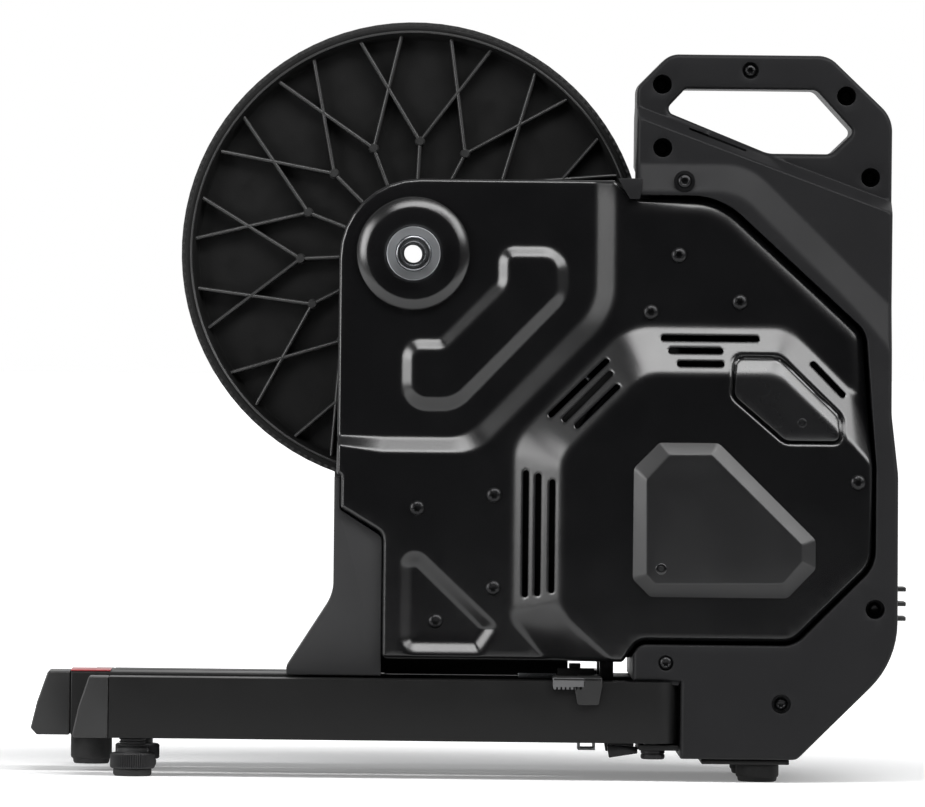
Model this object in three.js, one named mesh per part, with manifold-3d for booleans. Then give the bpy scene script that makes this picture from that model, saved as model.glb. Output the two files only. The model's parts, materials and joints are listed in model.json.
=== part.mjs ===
// A direct drive bike trainer, folded for storage: a wheel-off trainer with a belt-driven flywheel.
// Millimetres. X runs from the bike's front to its rear, Y from its left side to its drive side, Z up.
import * as THREE from "three";
import { mergeVertices } from "three/addons/utils/BufferGeometryUtils.js";
import Module from "manifold-3d";

const wasm = await Module();
wasm.setup();

// Driving dimensions, with X measured from the wheel axle and Z from the floor
const fit = 0.3; // gap between two pieces that touch
const overrun = 8; // how far a cut runs past the wall that it opens
const cornerSteps = 3; // flats on each rounded corner
const weldDistance = 0.001; // vertices closer than this are one

const axle = { overFaces: 142, radius: 10, bore: 7.9, sides: 32 };

// The pressed sheet on the bike's left side; reach is a face's distance from the mid-plane.
const panel = {
  left: -48.5,
  lift: 11.5,
  drop: 264,
  behind: 19.6,
  overAxle: 49,
  sheet: 2,
  reach: 57,
  recessDepth: 12,
  bossRise: 17,
  kidneyRise: 7,
  kidneySlope: 8,
  pocketDepth: 7,
  pocketSlope: 8,
};
const panelCornerShares = [
  [0, 1, 0.15], [0.514, 1, 0.009], [0.562, 0.962, 0.009], [0.71, 0.962, 0.04], [0.981, 0.687, 0.046],
  [1, 0.409, 0.086], [1, 0.208, 0.063], [0.854, 0.045, 0.046], [0.566, 0.045, 0.029], [0.537, 0, 0.009],
  [0.088, 0, 0.009], [0.088, 0.259, 0.023], [0.008, 0.313, 0.009], [0.008, 0.378, 0.004], [0, 0.386, 0.004],
];
// Boxes of the panel's reliefs, from its lower left corner
const recess = { left: -31.5, bottom: 135, length: 211.5, height: 208 };
const recessFloor = { left: -31.5, bottom: 144, length: 199.2, height: 199 };
const kidney = { left: 41, bottom: 162, length: 109, height: 108 };
const pocket = { left: 41.7, bottom: 3.5, length: 64.8, height: 79 };
// The boss: its room round the brake's arc, and how far its face is drawn in from its foot
const bossRoom = { front: 20, rear: 36, above: 5.5, below: 42 };
const bossSlope = { front: 32, rearOver: 4, above: 31 };
const recessShares = [[1, 1, 0.009], [1, 0.445, 0.076], [0.579, 0, 0.085], [0, 0, 0.009], [0, 1, 0.009]];
const recessFloorShares = [[1, 1, 0.01], [1, 0.432, 0.07], [0.582, 0, 0.1], [0, 0, 0.01], [0, 1, 0.01]];
const kidneyShares = [
  [0.569, 1, 0.092], [1, 1, 0.11], [1, 0.685, 0.092], [0.344, 0, 0.11],
  [0, 0, 0.128], [0, 0.435, 0.11], [0.229, 0.435, 0.028], [0.569, 0.782, 0.055],
];
const pocketShares = [[0, 1, 0.154], [0, 0, 0.17], [0.815, 0, 0.093], [1, 0.222, 0.093]];
const bossShares = [
  [0, 0.703, 0.053], [0.284, 1, 0.083], [0.678, 1, 0.045], [1, 0.669, 0.019],
  [1, 0, 0.019], [0.125, 0, 0.019], [0, 0.258, 0.076],
];
const bossTopShares = [
  [0, 0.762, 0.068], [0.216, 1, 0.076], [0.576, 1, 0.051], [1, 0.557, 0.021],
  [1, 0, 0.021], [0.377, 0, 0.021], [0, 0.347, 0.085],
];
// Cooling slots as shares of the panel's length and height: start x, start z, end x, end z
const slotWidth = 3.3;
const slotShares = [
  [0.354, 0.137, 0.354, 0.39], [0.377, 0.14, 0.377, 0.384], [0.403, 0.147, 0.403, 0.372],
  [0.399, 0.511, 0.502, 0.624], [0.425, 0.502, 0.509, 0.598], [0.448, 0.489, 0.522, 0.571],
  [0.608, 0.673, 0.782, 0.673], [0.622, 0.647, 0.714, 0.647], [0.638, 0.62, 0.716, 0.62],
  [0.888, 0.622, 0.944, 0.559],
];
// Spacers between the panel and the plate behind it, as shares of the panel
const spacerRadius = 5;
const spacerShares = [
  [0.637, 0.846], [0.586, 0.727], [0.753, 0.75], [0.295, 0.343],
  [0.151, 0.314], [0.295, 0.149], [0.188, 0.078], [0.97, 0.378],
];

const plate = { reach: 14, thickness: 4, footLeft: -16, footRight: 104, spacerLap: 2 };

const beam = { front: -221.1, rearInset: 66.4, top: 65.5, bottom: 24, width: 50, wall: 2.5 };
const beamCap = { front: -247, plug: 10 };
const beamCapShares = [
  [1, 1, 0.039], [0.43, 1, 0.078], [0.156, 0.511, 0.6], [0, 0.105, 0.078], [0.156, 0, 0.078], [1, 0, 0.039],
];
const accent = { length: 26, width: 46, thickness: 0.8 };
const beamFoot = { x: -207.6, radius: 13.5, tread: 12, treadHeight: 3.4, lift: 4.6, sides: 28 };
const clip = { x: 116.8, length: 11.5, width: 24, height: 6.6, window: 8.3, lip: 1.6 };

const leg = { front: -194.4, pivot: 158.5, middle: 76, width: 32, top: 64.5, bottom: 25, wall: 2.5, block: 24 };
const legCap = { front: -218, plug: 6 };
const legCapShares = [
  [1, 1, 0.042], [0.445, 1, 0.085], [0.169, 0.506, 0.6], [0, 0.051, 0.085], [0.042, 0, 0.042], [1, 0, 0.042],
];
const pivot = { radius: 6, head: 10, headHeight: 4, cap: 7.8, capHeight: 5.6, sides: 24 };
const foot = {
  x: -179,
  pad: 12.5,
  padHeight: 4.6,
  knob: 14.6,
  knurl: 0.8,
  knurls: 24,
  knobHeight: 10.3,
  stud: 8.8,
  studHeight: 35,
  sides: 24,
};
const lever = {
  front: 93,
  rear: 125,
  thickness: 2.5,
  proud: 2.7,
  skirt: 3.8,
  tabLength: 18,
  tabTaper: 2.5,
  tabDrop: 11,
  hinge: 59,
  armFront: 110,
  armRear: 122.8,
  armEnd: 36,
};
const post = { x: 128.6, y: 42, radius: 4.5, drop: 2.3, sides: 16 };
const latch = { length: 20, height: 7, drop: 3, width: 10, y: 51, top: 22.6, sink: 1.5 };

const cross = { rear: 175, lugFront: 149.5, reach: 86, lug: 5, lowerLug: 3.4, web: 4 };

const rearPlate = { crossGap: 15, rearInset: 69.4, reach: 82, thickness: 3.2, riserGap: 20, riserInset: 76.4 };
const riserWidth = 40;
const rearFoot = { inset: 20, y: 60, radius: 14, rim: 12.5, rimHeight: 3, height: 11.2, sides: 28 };

const gusset = { left: -80, length: 61.6, height: 129, nearReach: 52, farReach: 2, wall: 2.5 };
const gussetShares = [
  [0.487, 1, 0.01], [0.487, 0.404, 0.48], [0, 0.04, 0.05], [0, 0, 0.016],
  [1, 0, 0.016], [1, 0.702, 0.1], [0.55, 0.838, 0.016], [0.55, 1, 0.01],
];

// The two moulded shells that meet on the mid-plane and make the handle
const shell = {
  left: 145,
  bottom: 15.2,
  behind: 16.8,
  above: 83,
  wall: 2.5,
  gap: 3.2,
  crossGap: 1.02,
  lugGap: 0.47,
  notchRadius: 1.03,
  gripReach: 32,
  midReach: 50,
  bandReach: 60,
  footReach: 90,
  creaseWidth: 3.5,
  bandWidth: 18,
  bandRun: 420,
  creaseRun: 24,
  flareHeight: 230,
  guardReach: 30,
  guardSlopeShare: 1.2,
  screwBoss: 8,
  screwHole: 5.5,
  screwDepth: 9,
  screwSides: 16,
};
const shellShares = [
  [0, 0.953, 0.029], [0.123, 1, 0.041], [0.729, 1, 0.058], [0.974, 0.913, 0.128], [0.974, 0.489, 0.35],
  [1, 0.404, 0.35], [1, 0.1413, 0.35], [0.6213, 0, 0.041],
];
const handle = { frontBar: 18, rearBar: 29.4, topBar: 22.5, height: 41.7 };
const openingShares = [
  [0.109, 1, 0.024], [0.798, 1, 0.048], [1, 0.353, 0.032], [0.879, 0, 0.073], [0.548, 0, 0.161], [0, 0.652, 0.032],
];
// Lines where the shells' outer faces change slope, as shares of the shells' length and of their height over the panel
const creaseShares = [[-0.1, 0.70215], [1.2, -0.40098]];
const bandTopShares = [[-0.1, 0.13404], [1.4, 0.13404]];
const bandSideShares = [[0.2, 0.59184], [1.3, -1.63098]];
const flareShares = [[-0.3, -1.20627], [1.3, -1.20627]];
const shellScrewShares = [
  [0.096, 0.957], [0.431, 0.978], [0.798, 0.943], [0.097, 0.866], [0.893, 0.827], [0.914, 0.214], [0.561, 0.079],
];
const tab = { overlap: 14.6, height: 12.1, taper: 8, thickness: 3.5 };
// The drive-side shell also guards the belt's lower run, beside the big pulley.
const guard = {
  reachPast: 4.5,
  rise: 56,
  front: -18,
  run: 168,
  kneeX: 62,
  kneeZ: 150,
  backX: 78,
  backZ: 120,
  start: 97,
};

const badge = { left: 78.5, bottom: 79.5, length: 118.5, height: 100.3, rise: 6, slope: 8.2, wall: 1.8 };
const badgeShares = [
  [0.139, 1, 0.034], [0.464, 1, 0.051], [1, 0.379, 0.042], [1, 0.189, 0.042],
  [0.848, 0, 0.042], [0.097, 0, 0.042], [0, 0.115, 0.042], [0, 0.833, 0.042],
];
const inlay = { left: 143, bottom: 182, length: 68.5, height: 52.5, thickness: 1.6 };
const inlayShares = [
  [0.029, 1, 0.058], [0.423, 1, 0.146], [1, 0.286, 0.131], [1, 0, 0.058], [0.496, 0, 0.117], [0, 0.552, 0.117],
];

const guide = { bottom: 104, height: 22, width: 28, plate: 2.4, fin: 2.8, finLength: 5.9, fins: 3 };
const socket = { y: 24, z: 135, radius: 6, hole: 4, holeDepth: 10, inside: 15, proud: 1.2, sides: 20 };

// Round pieces on the wheel axle
const axleBoss = { radius: 37, shoulder: 29.5, rim: 2.5, rise: 12.7, dish: 1, mouth: 18.2, sides: 40 };
const endCap = { nose: 11.4, bore: 6.1, washer: 17.5, washerThickness: 2.3, shank: 7.6, shankLength: 12, sides: 28 };
const hubBearing = { outer: 15, width: 8, inset: 2, sides: 24 };
const pulley = {
  near: 3,
  width: 20,
  radius: 149,
  rim: 6.5,
  web: 3,
  webInset: 11,
  hub: 26,
  hubNear: 0.5,
  hubFar: 26,
  nodes: 15,
  nodeRadius: 74,
  nodeTurn: 2.9,
  fork: 17.4,
  rib: 2.6,
  ribDepth: 8,
  sides: 60,
};
const belt = { thickness: 2.4, width: 16, ease: 0.6, sides: 60, smallSides: 14 };
const freehub = { near: 27, far: 67.5, radius: 17.2, groove: 1.6, splines: 9, bore: 10.4 };
const cassette = { near: 28.5, pitch: 3.74, plate: 1.9, chainPitch: 12.7, toothRoot: 3.9, toothTip: 1.5, carrier: 23 };
const cassetteTeeth = [28, 25, 23, 21, 19, 17, 15, 14, 13, 12, 11];
const toothShares = [0.2, 0.5, 0.8];
const lockring = { radius: 15, thickness: 1.7, bore: 11.8, sides: 24 };

// Flywheel, its shaft and the small pulley
const flywheel = {
  x: 190,
  lift: 30.5,
  radius: 90,
  rim: 20,
  width: 30,
  web: 10,
  hub: 20,
  hubLength: 43,
  gap: 9,
  bore: 7.8,
  sides: 48,
};
const shaft = { radius: 7.5, nearInset: 2, farLength: 1, sides: 24 };
const shaftBearing = { outer: 16, width: 10, gap: 4, lap: 7, sides: 28 };
const smallPulley = { radius: 16, flange: 18.6, flangeWidth: 1.6, sides: 32 };
const idler = { radius: 14, share: 0.55, pin: 5, arm: 5, armLength: 46, armWidth: 16, inset: 1, sides: 24 };

// Eddy current brake: magnets on a swinging carrier, pushed by a small motor's screw
const brake = {
  gap: 2,
  arc: 12,
  start: 100,
  end: 165,
  hinge: 168,
  hingeRadius: 98,
  near: 54.2,
  far: 36,
  pin: 6,
  steps: 10,
  angle: 135,
};
const motor = { radius: 12, length: 26, distance: 124, bore: 3.6, sides: 20 };
const screw = { radius: 3, gap: 0.8, length: 34, sides: 12 };
const board = { left: 50.5, bottom: 34, length: 40, height: 52, thickness: 1.6, stand: 5, leg: 2.5, chip: 12, chipHeight: 3 };

// Finishes: colour, roughness and metalness of each kind of surface
const finishes = {
  glossPaint: [0x0b0b0c, 0.22, 0.1],
  satinPaint: [0x161616, 0.5, 0.1],
  mouldedPlastic: [0x1e1e1f, 0.62, 0],
  darkPlastic: [0x111112, 0.55, 0],
  rubber: [0x121212, 0.85, 0],
  castIron: [0x3a3b3d, 0.5, 0.8],
  steel: [0xb9bcc0, 0.3, 0.9],
  blackSteel: [0x2a2a2c, 0.4, 0.8],
  aluminium: [0xc4c7ca, 0.35, 0.9],
  red: [0xb03a34, 0.45, 0],
  board: [0x1d4a2c, 0.5, 0],
  greyPlastic: [0xa9abad, 0.6, 0],
};

const trainer = new THREE.Group();

// Shape helpers

// A closed geometry as a solid that can be joined and cut.
function solidOf(geometry) {
  geometry.deleteAttribute("normal");
  geometry.deleteAttribute("uv");
  const merged = mergeVertices(geometry, weldDistance);
  return new wasm.Manifold(
    new wasm.Mesh({
      numProp: 3,
      vertProperties: merged.attributes.position.array,
      triVerts: new Uint32Array(merged.index.array),
    }),
  );
}

// A solid as a geometry with flat facets.
function geometryOf(solid) {
  const mesh = solid.getMesh();
  const geometry = new THREE.BufferGeometry();
  geometry.setAttribute("position", new THREE.BufferAttribute(mesh.vertProperties, mesh.numProp));
  geometry.setIndex(new THREE.BufferAttribute(mesh.triVerts, 1));
  const facets = geometry.toNonIndexed();
  facets.computeVertexNormals();
  return facets;
}

// Adds one named sub-part in its finish to a group.
function addPart(name, solid, finish, group = trainer) {
  const [color, roughness, metalness] = finishes[finish];
  const material = new THREE.MeshStandardMaterial({ color, roughness, metalness });
  const mesh = new THREE.Mesh(geometryOf(solid), material);
  mesh.name = name;
  group.add(mesh);
}

// A table of x share, z share and radius share as corners in a box.
function cornersIn(shares, box) {
  return shares.map(([x, z, radius]) => ({
    at: new THREE.Vector2(box.left + x * box.length, box.bottom + z * box.height),
    radius: radius * box.length,
  }));
}

// A list of [x, z] points as corners with one radius.
function cornersAt(points, radius) {
  return points.map(([x, z]) => ({ at: new THREE.Vector2(x, z), radius }));
}

// Corners with their radii as an outline of points.
function rounded(corners, steps = cornerSteps) {
  return corners.flatMap((corner, i) => {
    const toBefore = corners.at(i - 1).at.clone().sub(corner.at);
    const toAfter = corners[(i + 1) % corners.length].at.clone().sub(corner.at);
    const room = Math.min(toBefore.length(), toAfter.length()) / 2.02;
    toBefore.normalize();
    toAfter.normalize();
    const half = toBefore.angleTo(toAfter) / 2;
    const reach = Math.min(corner.radius / Math.tan(half), room);
    const radius = reach * Math.tan(half);
    const inward = toBefore.clone().add(toAfter).normalize();
    const centre = corner.at.clone().addScaledVector(inward, radius / Math.sin(half));
    const start = corner.at.clone().addScaledVector(toBefore, reach).sub(centre);
    const end = corner.at.clone().addScaledVector(toAfter, reach).sub(centre);
    const turn = Math.atan2(start.cross(end), start.dot(end));
    return Array.from({ length: steps + 1 }, (_, k) =>
      start.clone().rotateAround(new THREE.Vector2(), (turn * k) / steps).add(centre));
  });
}

// Corners moved outwards by a distance, or inwards where it is negative.
function offset(corners, distance) {
  const points = corners.map((corner) => corner.at);
  const side = THREE.ShapeUtils.area(points) > 0 ? 1 : -1;
  const normals = points.map((point, i) => {
    const along = points[(i + 1) % points.length].clone().sub(point).normalize();
    return new THREE.Vector2(along.y * side, -along.x * side);
  });
  return corners.map((corner, i) => {
    const before = normals.at(i - 1);
    const after = normals[i];
    const shift = before.clone().add(after).multiplyScalar(distance / (1 + before.dot(after)));
    const convex = before.cross(after) * side > 0 ? 1 : -1;
    return { at: corner.at.clone().add(shift), radius: Math.max(corner.radius + distance * convex, fit) };
  });
}

// Turns a shape drawn in x and z upright, extruded towards the left side.
const upright = new THREE.Matrix4().makeBasis(
  new THREE.Vector3(1, 0, 0),
  new THREE.Vector3(0, 0, 1),
  new THREE.Vector3(0, -1, 0),
);

// An upright outline in x and z, extruded along y.
function plateAcross(outline, yNear, yFar) {
  const shape = new THREE.Shape(outline);
  const geometry = new THREE.ExtrudeGeometry(shape, { depth: yFar - yNear, bevelEnabled: false });
  return solidOf(geometry.applyMatrix4(upright).translate(0, yFar, 0));
}

// A closed body between two upright outlines of as many points, with the near one's y given by a function.
function loft(near, far, nearY, yFar) {
  const count = near.length;
  const clockwise = THREE.ShapeUtils.isClockWise(near);
  const nearPoints = clockwise ? near.toReversed() : near;
  const farPoints = clockwise ? far.toReversed() : far;
  const positions = [
    ...nearPoints.flatMap((point) => [point.x, nearY(point), point.y]),
    ...farPoints.flatMap((point) => [point.x, yFar, point.y]),
  ];
  const nearFaces = THREE.ShapeUtils.triangulateShape(nearPoints, []);
  const farFaces = THREE.ShapeUtils.triangulateShape(farPoints, []);
  const index = nearFaces.flat();
  farFaces.forEach(([a, b, c]) => index.push(count + c, count + b, count + a));
  for (let i = 0; i < count; i++) {
    const next = (i + 1) % count;
    index.push(next, i, count + i, next, count + i, count + next);
  }
  const geometry = new THREE.BufferGeometry();
  geometry.setAttribute("position", new THREE.Float32BufferAttribute(positions, 3));
  geometry.setIndex(index);
  return solidOf(geometry);
}

// A raised or sunk relief with sloping sides between two outlines.
function frustum(near, far, yNear, yFar) {
  return loft(near, far, () => yNear, yFar);
}

function box(xs, ys, zs) {
  const geometry = new THREE.BoxGeometry(xs[1] - xs[0], ys[1] - ys[0], zs[1] - zs[0]);
  return solidOf(geometry.translate((xs[0] + xs[1]) / 2, (ys[0] + ys[1]) / 2, (zs[0] + zs[1]) / 2));
}

// Round bars along y, z and x
function rodY(radius, ys, x, z, sides) {
  const geometry = new THREE.CylinderGeometry(radius, radius, ys[1] - ys[0], sides);
  return solidOf(geometry.translate(x, (ys[0] + ys[1]) / 2, z));
}

function rodZ(radius, zs, x, y, sides, topRadius = radius) {
  const geometry = new THREE.CylinderGeometry(topRadius, radius, zs[1] - zs[0], sides);
  return solidOf(geometry.rotateX(Math.PI / 2).translate(x, y, (zs[0] + zs[1]) / 2));
}

function rodX(radius, xs, y, z, sides) {
  const geometry = new THREE.CylinderGeometry(radius, radius, xs[1] - xs[0], sides);
  return solidOf(geometry.rotateZ(Math.PI / 2).translate((xs[0] + xs[1]) / 2, y, z));
}

// A ring turned about an axis along y, from a profile of [radius, y] that closes on itself.
function turned(profile, x, z, sides) {
  const points = [...profile, profile[0]].map(([radius, y]) => new THREE.Vector2(radius, y));
  return solidOf(new THREE.LatheGeometry(points, sides).translate(x, 0, z));
}

// A plain ring, such as a bearing.
function ring(inner, outer, ys, x, z, sides) {
  return turned([[inner, ys[0]], [outer, ys[0]], [outer, ys[1]], [inner, ys[1]]], x, z, sides);
}

function joined(solids) {
  return solids.reduce((all, next) => all.add(next));
}

function cutBy(solid, cutters) {
  return cutters.reduce((rest, cutter) => rest.subtract(cutter), solid);
}

// Points on a circle in x and z, from one angle to another in degrees.
function arcPoints(x, z, radius, start, end, steps) {
  return Array.from({ length: steps + 1 }, (_, k) => {
    const angle = THREE.MathUtils.degToRad(start + ((end - start) * k) / steps);
    return new THREE.Vector2(x + radius * Math.cos(angle), z + radius * Math.sin(angle));
  });
}

// Places that several pieces share
const axleZ = beam.top + panel.lift + panel.drop;
const panelBox = {
  left: panel.left,
  bottom: axleZ - panel.drop,
  length: flywheel.x + flywheel.radius + panel.behind - panel.left,
  height: panel.drop + panel.overAxle,
};
const panelCorners = cornersIn(panelCornerShares, panelBox);
const plateNear = -plate.reach;
const plateFar = plateNear + plate.thickness;
const bossReach = panel.reach + panel.bossRise;
const flywheelZ = beam.top + flywheel.lift + flywheel.radius;
const brakeInner = flywheel.radius + brake.gap;
const brakeOuter = brakeInner + brake.arc;
const flywheelNear = -(bossReach - panel.sheet - flywheel.gap);
const legNear = -(leg.middle + leg.width / 2);
const legFar = -(leg.middle - leg.width / 2);
const pulleyFar = pulley.near + pulley.width;
const lugLow = beam.top + fit;
const lugTop = lugLow + cross.lug;
const lowLugTop = beam.bottom - fit;
const lowLugBottom = lowLugTop - cross.lowerLug;
const crossFront = shell.left + shell.wall + fit;
const panelTop = panelBox.bottom + panelBox.height;
const shellRear = panelBox.left + panelBox.length + shell.behind;
const shellTop = panelTop + shell.above;
const shellBox = {
  left: shell.left,
  bottom: shell.bottom,
  length: shellRear - shell.left,
  height: shellTop - shell.bottom,
};
const beamRear = shellRear - beam.rearInset;
const soleFront = cross.rear + rearPlate.crossGap;
const soleRear = shellRear - rearPlate.rearInset;
const riserFront = cross.rear + rearPlate.riserGap;
const riserRear = shellRear - rearPlate.riserInset;
const rearFootX = soleRear - rearFoot.inset;
const boss = {
  left: flywheel.x - brakeOuter - bossRoom.front,
  bottom: flywheelZ - brakeOuter - bossRoom.below,
  length: 2 * brakeOuter + bossRoom.front + bossRoom.rear,
  height: 2 * brakeOuter + bossRoom.above + bossRoom.below,
};
const bossTop = {
  left: boss.left + bossSlope.front,
  bottom: boss.bottom,
  length: boss.length - bossSlope.front + bossSlope.rearOver,
  height: boss.height - bossSlope.above,
};
const dishReach = panel.reach - panel.recessDepth + fit + axleBoss.rise - axleBoss.dish;
const leftSeat = dishReach + fit;
const rightSeat = freehub.far + fit;

function onPanel(feature) {
  return { ...feature, left: panelBox.left + feature.left, bottom: panelBox.bottom + feature.bottom };
}

function onBoss(feature) {
  return { ...feature, left: boss.left + feature.left, bottom: boss.bottom + feature.bottom };
}

function panelPoint([x, z]) {
  return [panelBox.left + x * panelBox.length, panelBox.bottom + z * panelBox.height];
}

// Pressed panel

const bossOutline = rounded(cornersIn(bossShares, boss));
const bossTopOutline = rounded(cornersIn(bossTopShares, bossTop));

// The flywheel boss alone, moved along y, as tall as it stands above the panel.
function bossRelief(shift) {
  return frustum(bossTopOutline, bossOutline, shift - bossReach, shift - panel.reach + panel.sheet);
}

// The panel's outer form with its outline drawn in and its faces moved back by one inset.
function panelForm(inset, back) {
  const outline = rounded(offset(panelCorners, -inset));
  const main = inset - panel.reach;
  const floor = main + panel.recessDepth;
  const kidneyCorners = cornersIn(kidneyShares, onPanel(kidney));
  const pocketCorners = cornersIn(pocketShares, onPanel(pocket));
  const recessCut = frustum(
    rounded(cornersIn(recessShares, onPanel(recess))),
    rounded(cornersIn(recessFloorShares, onPanel(recessFloor))),
    main,
    floor,
  );
  const kidneyRelief = frustum(
    rounded(offset(kidneyCorners, -panel.kidneySlope)),
    rounded(kidneyCorners),
    floor - panel.kidneyRise,
    floor + panel.sheet,
  );
  const pocketCut = frustum(
    rounded(pocketCorners),
    rounded(offset(pocketCorners, -panel.pocketSlope)),
    main,
    main + panel.pocketDepth,
  );
  const body = plateAcross(outline, main, back);
  const relief = bossRelief(inset).intersect(plateAcross(outline, inset - bossReach - overrun, back));
  return cutBy(body, [recessCut, pocketCut]).add(kidneyRelief).add(relief);
}

function slotCutters() {
  return slotShares.map(([x0, z0, x1, z1]) => {
    const start = new THREE.Vector2(...panelPoint([x0, z0]));
    const end = new THREE.Vector2(...panelPoint([x1, z1]));
    const angle = THREE.MathUtils.radToDeg(end.clone().sub(start).angle());
    const outline = [
      ...arcPoints(start.x, start.y, slotWidth / 2, angle + 90, angle + 270, cornerSteps),
      ...arcPoints(end.x, end.y, slotWidth / 2, angle - 90, angle + 90, cornerSteps),
    ];
    return plateAcross(outline, -bossReach - overrun, -panel.reach + panel.sheet + overrun);
  });
}

function framePanel() {
  const back = plateNear - fit;
  const hollow = panelForm(panel.sheet, back + overrun);
  const through = [-bossReach - overrun, back];
  const axleHole = rodY(axle.radius + fit, through, 0, axleZ, axle.sides);
  const bearingHole = rodY(shaftBearing.outer + fit, through, flywheel.x, flywheelZ, shaftBearing.sides);
  return cutBy(panelForm(0, back), [hollow, axleHole, bearingHole, ...slotCutters()]);
}

// Reach of the panel's outer face at a spacer: the pocket and the boss differ from the main face.
function spacerReach(index) {
  const inPocket = index === 6;
  const onBoss = index === 7;
  return panel.reach - (inPocket ? panel.pocketDepth : 0) + (onBoss ? panel.bossRise : 0);
}

function framePlate() {
  const outline = rounded(panelCorners);
  const sheet = plateAcross(outline, plateNear, plateFar);
  const footTop = panelBox.bottom + overrun;
  const standing = box([plate.footLeft, plate.footRight], [plateNear, plateFar], [beam.top + fit, footTop]);
  const spacers = spacerShares.map((share, index) => {
    const [x, z] = panelPoint(share);
    const near = -(spacerReach(index) - panel.sheet - fit);
    return rodY(spacerRadius, [near, plateNear + plate.spacerLap], x, z, 12);
  });
  const through = [plateNear - overrun, plateFar + overrun];
  const axleHole = rodY(axle.radius + fit, through, 0, axleZ, axle.sides);
  const bearingHole = rodY(shaftBearing.outer + fit, through, flywheel.x, flywheelZ, shaftBearing.sides);
  return cutBy(joined([sheet, standing, ...spacers]), [axleHole, bearingHole]);
}

// Base beam and what it carries

function baseBeam() {
  const half = beam.width / 2;
  const outer = box([beam.front, beamRear], [-half, half], [beam.bottom, beam.top]);
  const inner = box(
    [beam.front - overrun, beamRear + overrun],
    [beam.wall - half, half - beam.wall],
    [beam.bottom + beam.wall, beam.top - beam.wall],
  );
  return outer.subtract(inner);
}

// A moulded end cap: a side profile with a plug that slides into its tube.
function tubeCap(shares, front, rear, bottom, top, ys, wall, plug) {
  const profile = cornersIn(shares, { left: front, bottom, length: rear - front, height: top - bottom });
  const gap = wall + fit;
  const insert = box([rear - overrun, rear + plug], [ys[0] + gap, ys[1] - gap], [bottom + gap, top - gap]);
  return plateAcross(rounded(profile), ys[0], ys[1]).add(insert);
}

function beamFrontCap() {
  const half = beam.width / 2;
  const rear = beam.front - fit;
  return tubeCap(beamCapShares, beamCap.front, rear, beam.bottom, beam.top, [-half, half], beam.wall, beamCap.plug);
}

function accentStrip() {
  const low = beam.top + fit;
  const half = accent.width / 2;
  return box([beam.front, beam.front + accent.length], [-half, half], [low, low + accent.thickness]);
}

function beamFrontFoot() {
  const step = beamFoot.lift + beamFoot.treadHeight;
  const body = rodZ(beamFoot.radius, [step, beam.bottom - fit], beamFoot.x, 0, beamFoot.sides);
  const tread = rodZ(beamFoot.tread, [beamFoot.lift, step + fit], beamFoot.x, 0, beamFoot.sides);
  return body.add(tread);
}

function beamClip() {
  const top = beam.bottom - fit;
  const half = clip.width / 2;
  const ends = [clip.x - clip.length / 2, clip.x + clip.length / 2];
  const block = box(ends, [-half, half], [top - clip.height, top]);
  const window = box(
    [clip.x - clip.window / 2, clip.x + clip.window / 2],
    [-half - overrun, half + overrun],
    [top - clip.height + clip.lip, top - clip.lip],
  );
  return block.subtract(window);
}

// The welded cross member that carries both legs' pivots around the beam
function legCrossmember() {
  const reach = cross.reach;
  const ribNear = beam.width / 2 + fit;
  const ribFar = ribNear + cross.web;
  const pieces = [
    box([crossFront, cross.rear], [-reach, reach], [lugLow, lugTop]),
    box([cross.lugFront, cross.rear], [-reach, reach], [lowLugBottom, lowLugTop]),
    box([cross.lugFront, cross.rear], [ribNear, ribFar], [lowLugBottom, lugTop]),
    box([cross.lugFront, cross.rear], [-ribFar, -ribNear], [lowLugBottom, lugTop]),
  ];
  const bores = [-leg.middle, leg.middle].map((y) =>
    rodZ(pivot.radius + fit, [lowLugBottom - overrun, lugTop + overrun], leg.pivot, y, pivot.sides));
  return cutBy(joined(pieces), bores);
}

function rearFootPlate() {
  const top = shell.bottom - fit;
  const bottom = top - rearPlate.thickness;
  const sheet = box([soleFront, soleRear], [-rearPlate.reach, rearPlate.reach], [bottom, top]);
  const half = riserWidth / 2;
  const riser = box([riserFront, riserRear], [-half, half], [bottom, beam.bottom - fit]);
  return sheet.add(riser);
}

function rearRubberFoot(y) {
  const top = shell.bottom - 2 * fit - rearPlate.thickness;
  const body = rodZ(rearFoot.radius, [rearFoot.rimHeight, top], rearFootX, y, rearFoot.sides);
  const rim = rodZ(rearFoot.rim, [0, rearFoot.rimHeight], rearFootX, y, rearFoot.sides, rearFoot.radius);
  return body.add(rim);
}

function frontGusset() {
  const bounds = { ...gusset, bottom: beam.top + fit };
  const corners = cornersIn(gussetShares, bounds);
  const outer = plateAcross(rounded(corners), -gusset.nearReach, -gusset.farReach);
  const inner = cornersIn(gussetShares, {
    left: bounds.left + gusset.wall,
    bottom: bounds.bottom - overrun,
    length: bounds.length + overrun,
    height: bounds.height + overrun - gusset.wall,
  });
  const hollow = plateAcross(rounded(inner), gusset.wall - gusset.nearReach, -gusset.farReach - gusset.wall);
  return outer.subtract(hollow);
}

// Moulded shells, drawn as the left half; the drive side's half is the same form turned over

// A sloping face: its reach is given at a line and grows to the line's right hand side.
function ramp(shares, reach, slope) {
  const [from, to] = shares.map(([x, z]) =>
    new THREE.Vector2(shell.left + x * shellBox.length, panelTop + z * shell.above));
  const along = to.clone().sub(from).normalize();
  from.addScaledVector(along, -shellBox.height);
  to.addScaledVector(along, shellBox.height);
  return { from, to, reach, slope, into: new THREE.Vector2(along.y, -along.x) };
}

function rampReach(face, point) {
  return face.reach + face.slope * point.clone().sub(face.from).dot(face.into);
}

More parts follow.
